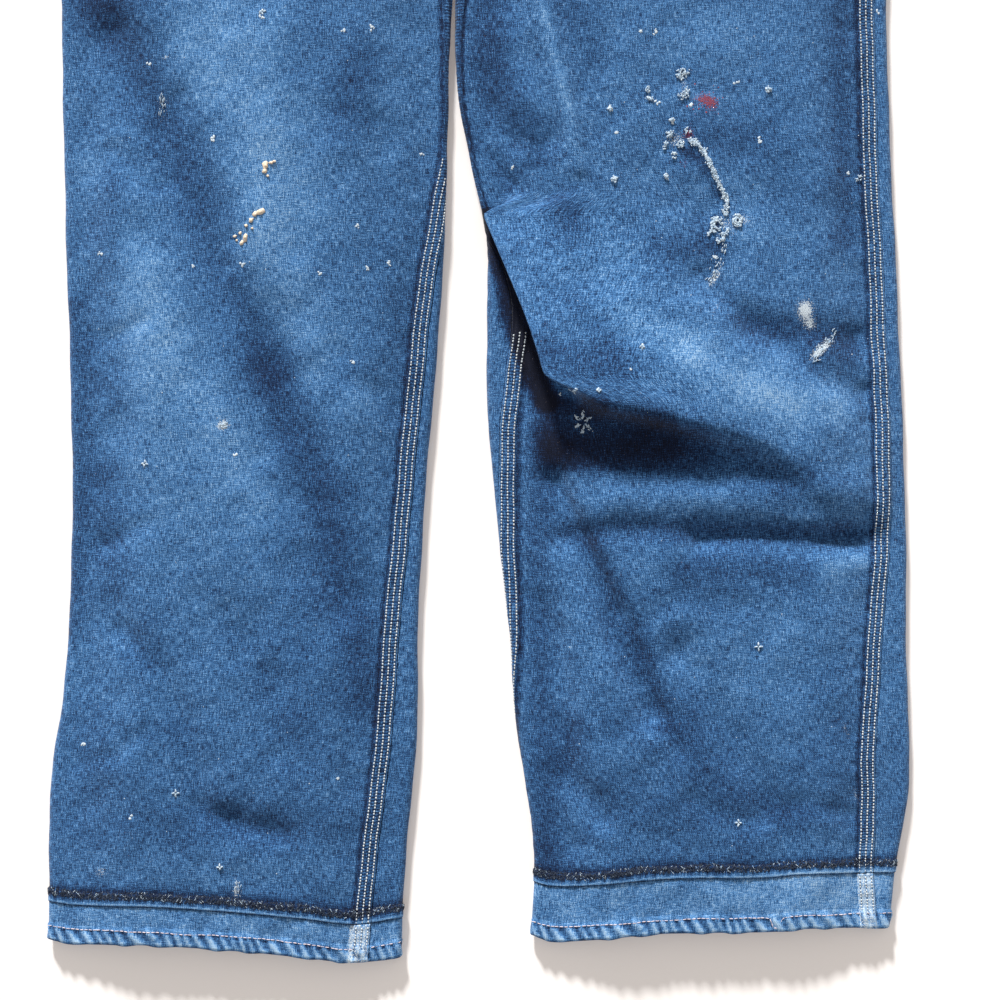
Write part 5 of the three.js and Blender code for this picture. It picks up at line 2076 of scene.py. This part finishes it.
@dataclass
class Buckle:
    """One bent-wire buckle: a bar for the strap, narrowing to a loop round the button."""

    side: Side
    steps: int = 120
    sides: int = 14

    def build(self, place: Place, finish: Material) -> Thing:
        """Makes the wire.

        Args:
            place: where the pattern lies.
            finish: the worn steel.

        Returns:
            The buckle.
        """
        x, y, z = BUCKLE * (-1 if self.side is Side.RIGHT else 1, 1, 1)
        half = STRAP_WIDTH / 2 + 4.5
        outline = [(-half + 3, 0), (half - 3, 0), (half, -3), (half, -15),
                   (15, -24), (8.6, -33), (6, -41), (0, -44)]
        outline += [(-a, b) for a, b in reversed(outline[2:-1])]
        corners = np.array([(x + a, y + b, z) for a, b in outline])
        ring = np.arange(self.steps) * len(corners) / self.steps
        i, t = ring.astype(int), (ring % 1)[:, None]
        p0, p1, p2, p3 = (corners[(i + k) % len(corners)] for k in (-1, 0, 1, 2))
        # the straight bar stays straight between its two corners
        m1, m2 = (p2 - p0) / 2, (p3 - p1) / 2
        limit = 1.2 * np.linalg.norm(p2 - p1, axis=1, keepdims=True)
        for slope in (m1, m2):
            slope *= (
                np.minimum(1, limit / np.linalg.norm(slope, axis=1, keepdims=True)) * (i != 0)[:, None])
        path = ((2 * t**3 - 3 * t**2 + 1) * p1 + (t**3 - 2 * t**2 + t) * m1
                + (3 * t**2 - 2 * t**3) * p2 + (t**3 - t**2) * m2)
        ahead = np.roll(path, -1, 0) - np.roll(path, 1, 0)
        ahead /= np.linalg.norm(ahead, axis=1, keepdims=True)
        side = np.cross(ahead, UP)
        angle = np.arange(self.sides) * TURN / self.sides
        round_wire = side[:, None] * np.cos(angle)[:, None] + np.array(UP) * np.sin(angle)[:, None]
        points = (path[:, None] + WIRE * round_wire).reshape(-1, 3)
        faces = tube_faces(self.steps, self.sides, True)
        name = f"{self.side.value}_buckle"
        made = place.mesh(f"{name}_wire", points, faces, finish)
        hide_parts(name)
        return made


@dataclass
class Button:
    """A plain metal button with a domed, rimmed head on a shank."""

    node: str
    radius: float = 8.5
    turns: int = 56

    def build(self, place: Place, finish: Material) -> Thing:
        """Makes the button where its solid stands.

        Args:
            place: where the pattern lies.
            finish: the dull metal.

        Returns:
            The button.
        """
        low, high = (np.array(corner) * 1000 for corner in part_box(self.node))
        middle, top = (low + high) / 2, high[2] - low[2]
        profile = np.array((
            (0, 0), (4.3, 0), (4.6, 0.25), (4.5, 0.8), (2.6, 1.2), (2.4, top - 2.8),
            (self.radius - 1.2, top - 2.7),
            (self.radius - 0.3, top - 2.3), (self.radius, top - 1.7), (self.radius - 0.35, top - 1.05),
            (self.radius - 1.1, top - 0.75), (self.radius - 1.8, top - 0.95), (self.radius - 2.6, top - 0.7),
            (4.2, top - 0.2), (2.0, top - 0.03), (0, top)))
        angle = np.arange(self.turns) * TURN / self.turns
        body = profile[1:-1]
        rings = np.stack((
            body[:, :1] * np.cos(angle), body[:, :1] * np.sin(angle),
            np.broadcast_to(body[:, 1:], (len(body), self.turns))), -1)
        points = np.concatenate((rings.reshape(-1, 3), ((0, 0, profile[0, 1]), (0, 0, profile[-1, 1]))))
        points += (middle[0] - place.x * 1000, middle[1] - place.y * 1000, low[2] - place.z * 1000)
        walls = tube_faces(len(body), self.turns, False)
        ring, after = np.arange(self.turns), (np.arange(self.turns) + 1) % self.turns
        foot, crown = len(points) - 2, len(points) - 1
        upper = (len(body) - 1) * self.turns
        caps = np.concatenate((
            np.stack((np.full(self.turns, foot), after, ring), 1),
            np.stack((np.full(self.turns, crown), upper + ring, upper + after), 1)))
        made = place.mesh(f"{self.node}_metal", points, [walls, caps], finish)
        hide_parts(self.node)
        return made


# ---- Studio ------------------------------------------------------------------------------------

@dataclass(frozen=True)
class Studio:
    """A pale floor, a soft key light from beyond the waist, sky fill, and the camera above."""

    view_x: float = 14.4
    view_y: float = 332.6
    view_width: float = 720.0
    lens: float = 85.0
    key: float = 5.75
    fill: float = 0.52
    elevation: float = 21.5
    swing: float = 13.0

    def build(self, place: Place) -> None:
        """Makes the floor, lights and camera.

        Args:
            place: where the pattern lies.
        """
        scene = bpy.context.scene
        scene.view_settings.view_transform = "Standard"
        world = bpy.data.worlds.new("Studio air")
        world.use_nodes = True
        sky = world.node_tree.nodes["Background"]
        sky.inputs["Color"].default_value = (1.0, 0.955, 0.925, 1)
        sky.inputs["Strength"].default_value = self.fill
        scene.world = world
        self.floor(place)
        key = bpy.data.lights.new("Key", "SUN")
        key.energy, key.angle, key.color = self.key, math.radians(6.5), (1.0, 0.985, 0.965)
        lamp = bpy.data.objects.new("Key", key)
        rise, turn = math.radians(self.elevation), math.radians(self.swing)
        towards = Vector((math.sin(turn) * math.cos(rise), -math.cos(turn) * math.cos(rise), -math.sin(rise)))
        lamp.rotation_euler = towards.to_track_quat("-Z", "Y").to_euler()
        bpy.context.collection.objects.link(lamp)
        camera = bpy.data.cameras.new("Camera")
        camera.lens, camera.sensor_width = self.lens, 36.0
        eye = bpy.data.objects.new("Camera", camera)
        x, y, _ = place.metres(np.array((self.view_x, self.view_y, 0.0)))
        eye.location = (x, y, place.z + 0.008 + self.view_width / 1000 * self.lens / 36.0)
        bpy.context.collection.objects.link(eye)
        scene.camera = eye

    @staticmethod
    def floor(place: Place) -> None:
        """A wide white floor that glows faintly: painted light that lifts and warms the shadows on it.

        Args:
            place: where the pattern lies.
        """
        mesh = bpy.data.meshes.new("Floor")
        reach, level = 6.0, place.z - 0.0002
        corners = [(x * reach, y * reach, level) for x, y in ((-1, -1), (1, -1), (1, 1), (-1, 1))]
        mesh.from_pydata(corners, [], [(0, 1, 2, 3)])
        made, g, shader = new_material("Floor white")
        cloudy = g.noise(g.node("ShaderNodeTexCoord").outputs["Object"], 3.0, 2.0)
        g.put(shader.inputs["Base Color"], g.mix(cloudy, (0.885, 0.868, 0.856, 1), (0.905, 0.888, 0.876, 1)))
        shader.inputs["Roughness"].default_value = 0.9
        # The floor's faint warm glow is painted light, lifting its shadows.
        shader.inputs["Emission Color"].default_value = (1.0, 0.84, 0.74, 1)
        shader.inputs["Emission Strength"].default_value = 0.15
        shader.inputs["Specular IOR Level"].default_value = 0.1
        mesh.materials.append(made)
        floor = bpy.data.objects.new("Floor", mesh)
        bpy.context.collection.objects.link(floor)


# ---- The whole garment -------------------------------------------------------------------------

@dataclass(frozen=True)
class Cut:
    """The size that one piece of cloth was cut to, in metres, and what lies on it."""

    width: float
    length: float
    area: float | None
    rests_on: tuple[str, ...]
    held: str = "laid"


class Dungarees:
    """Everything, in the order that a maker would sew it."""

    def __init__(self) -> None:
        """Finds the pattern's place and makes the finishes."""
        self.place = Place()
        self.wardrobe = Wardrobe()
        self.cloth: dict[str, Thing] = {}

    def build(self) -> None:
        """Makes every piece."""
        paint = PaintWork()
        for leg in (RIGHT_LEG, LEFT_LEG):
            for face in Face:
                side = f"{leg.side.value}_{face.value}"
                self.cloth[f"{side}_leg"] = LegPanel(leg, face).build(self.place, self.wardrobe.denim, paint)
                self.cloth[f"{side}_hem"] = HemBand(leg, face).build(self.place, self.wardrobe.hem)
        sewn = Stitching().build(self.place, self.wardrobe)
        for thread in (*sewn, *paint.build(self.place, self.wardrobe)):
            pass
        waist = WaistPieces()
        for key, pieces in (
            ("waistband", waist.band(self.place, self.wardrobe)),
            ("yoke", waist.yoke(self.place, self.wardrobe)),
            ("bib", Bib().build(self.place, self.wardrobe)),
            ("right_strap", Strap(Side.RIGHT).build(self.place, self.wardrobe)),
            ("left_strap", Strap(Side.LEFT).build(self.place, self.wardrobe)),
        ):
            self.cloth[key] = pieces[0]
        for side in Side:
            Buckle(side).build(self.place, self.wardrobe.steel)
            for where in ("bib", "waist", "hip"):
                Button(f"{side.value}_{where}_button").build(self.place, self.wardrobe.brass)


def main() -> None:
    """Builds the studio and the garment."""
    logging.basicConfig(level=logging.INFO, format="%(name)s: %(message)s")
    garment = Dungarees()
    Studio().build(garment.place)
    garment.build()


if __name__ == "__main__":
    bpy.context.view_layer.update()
    main()
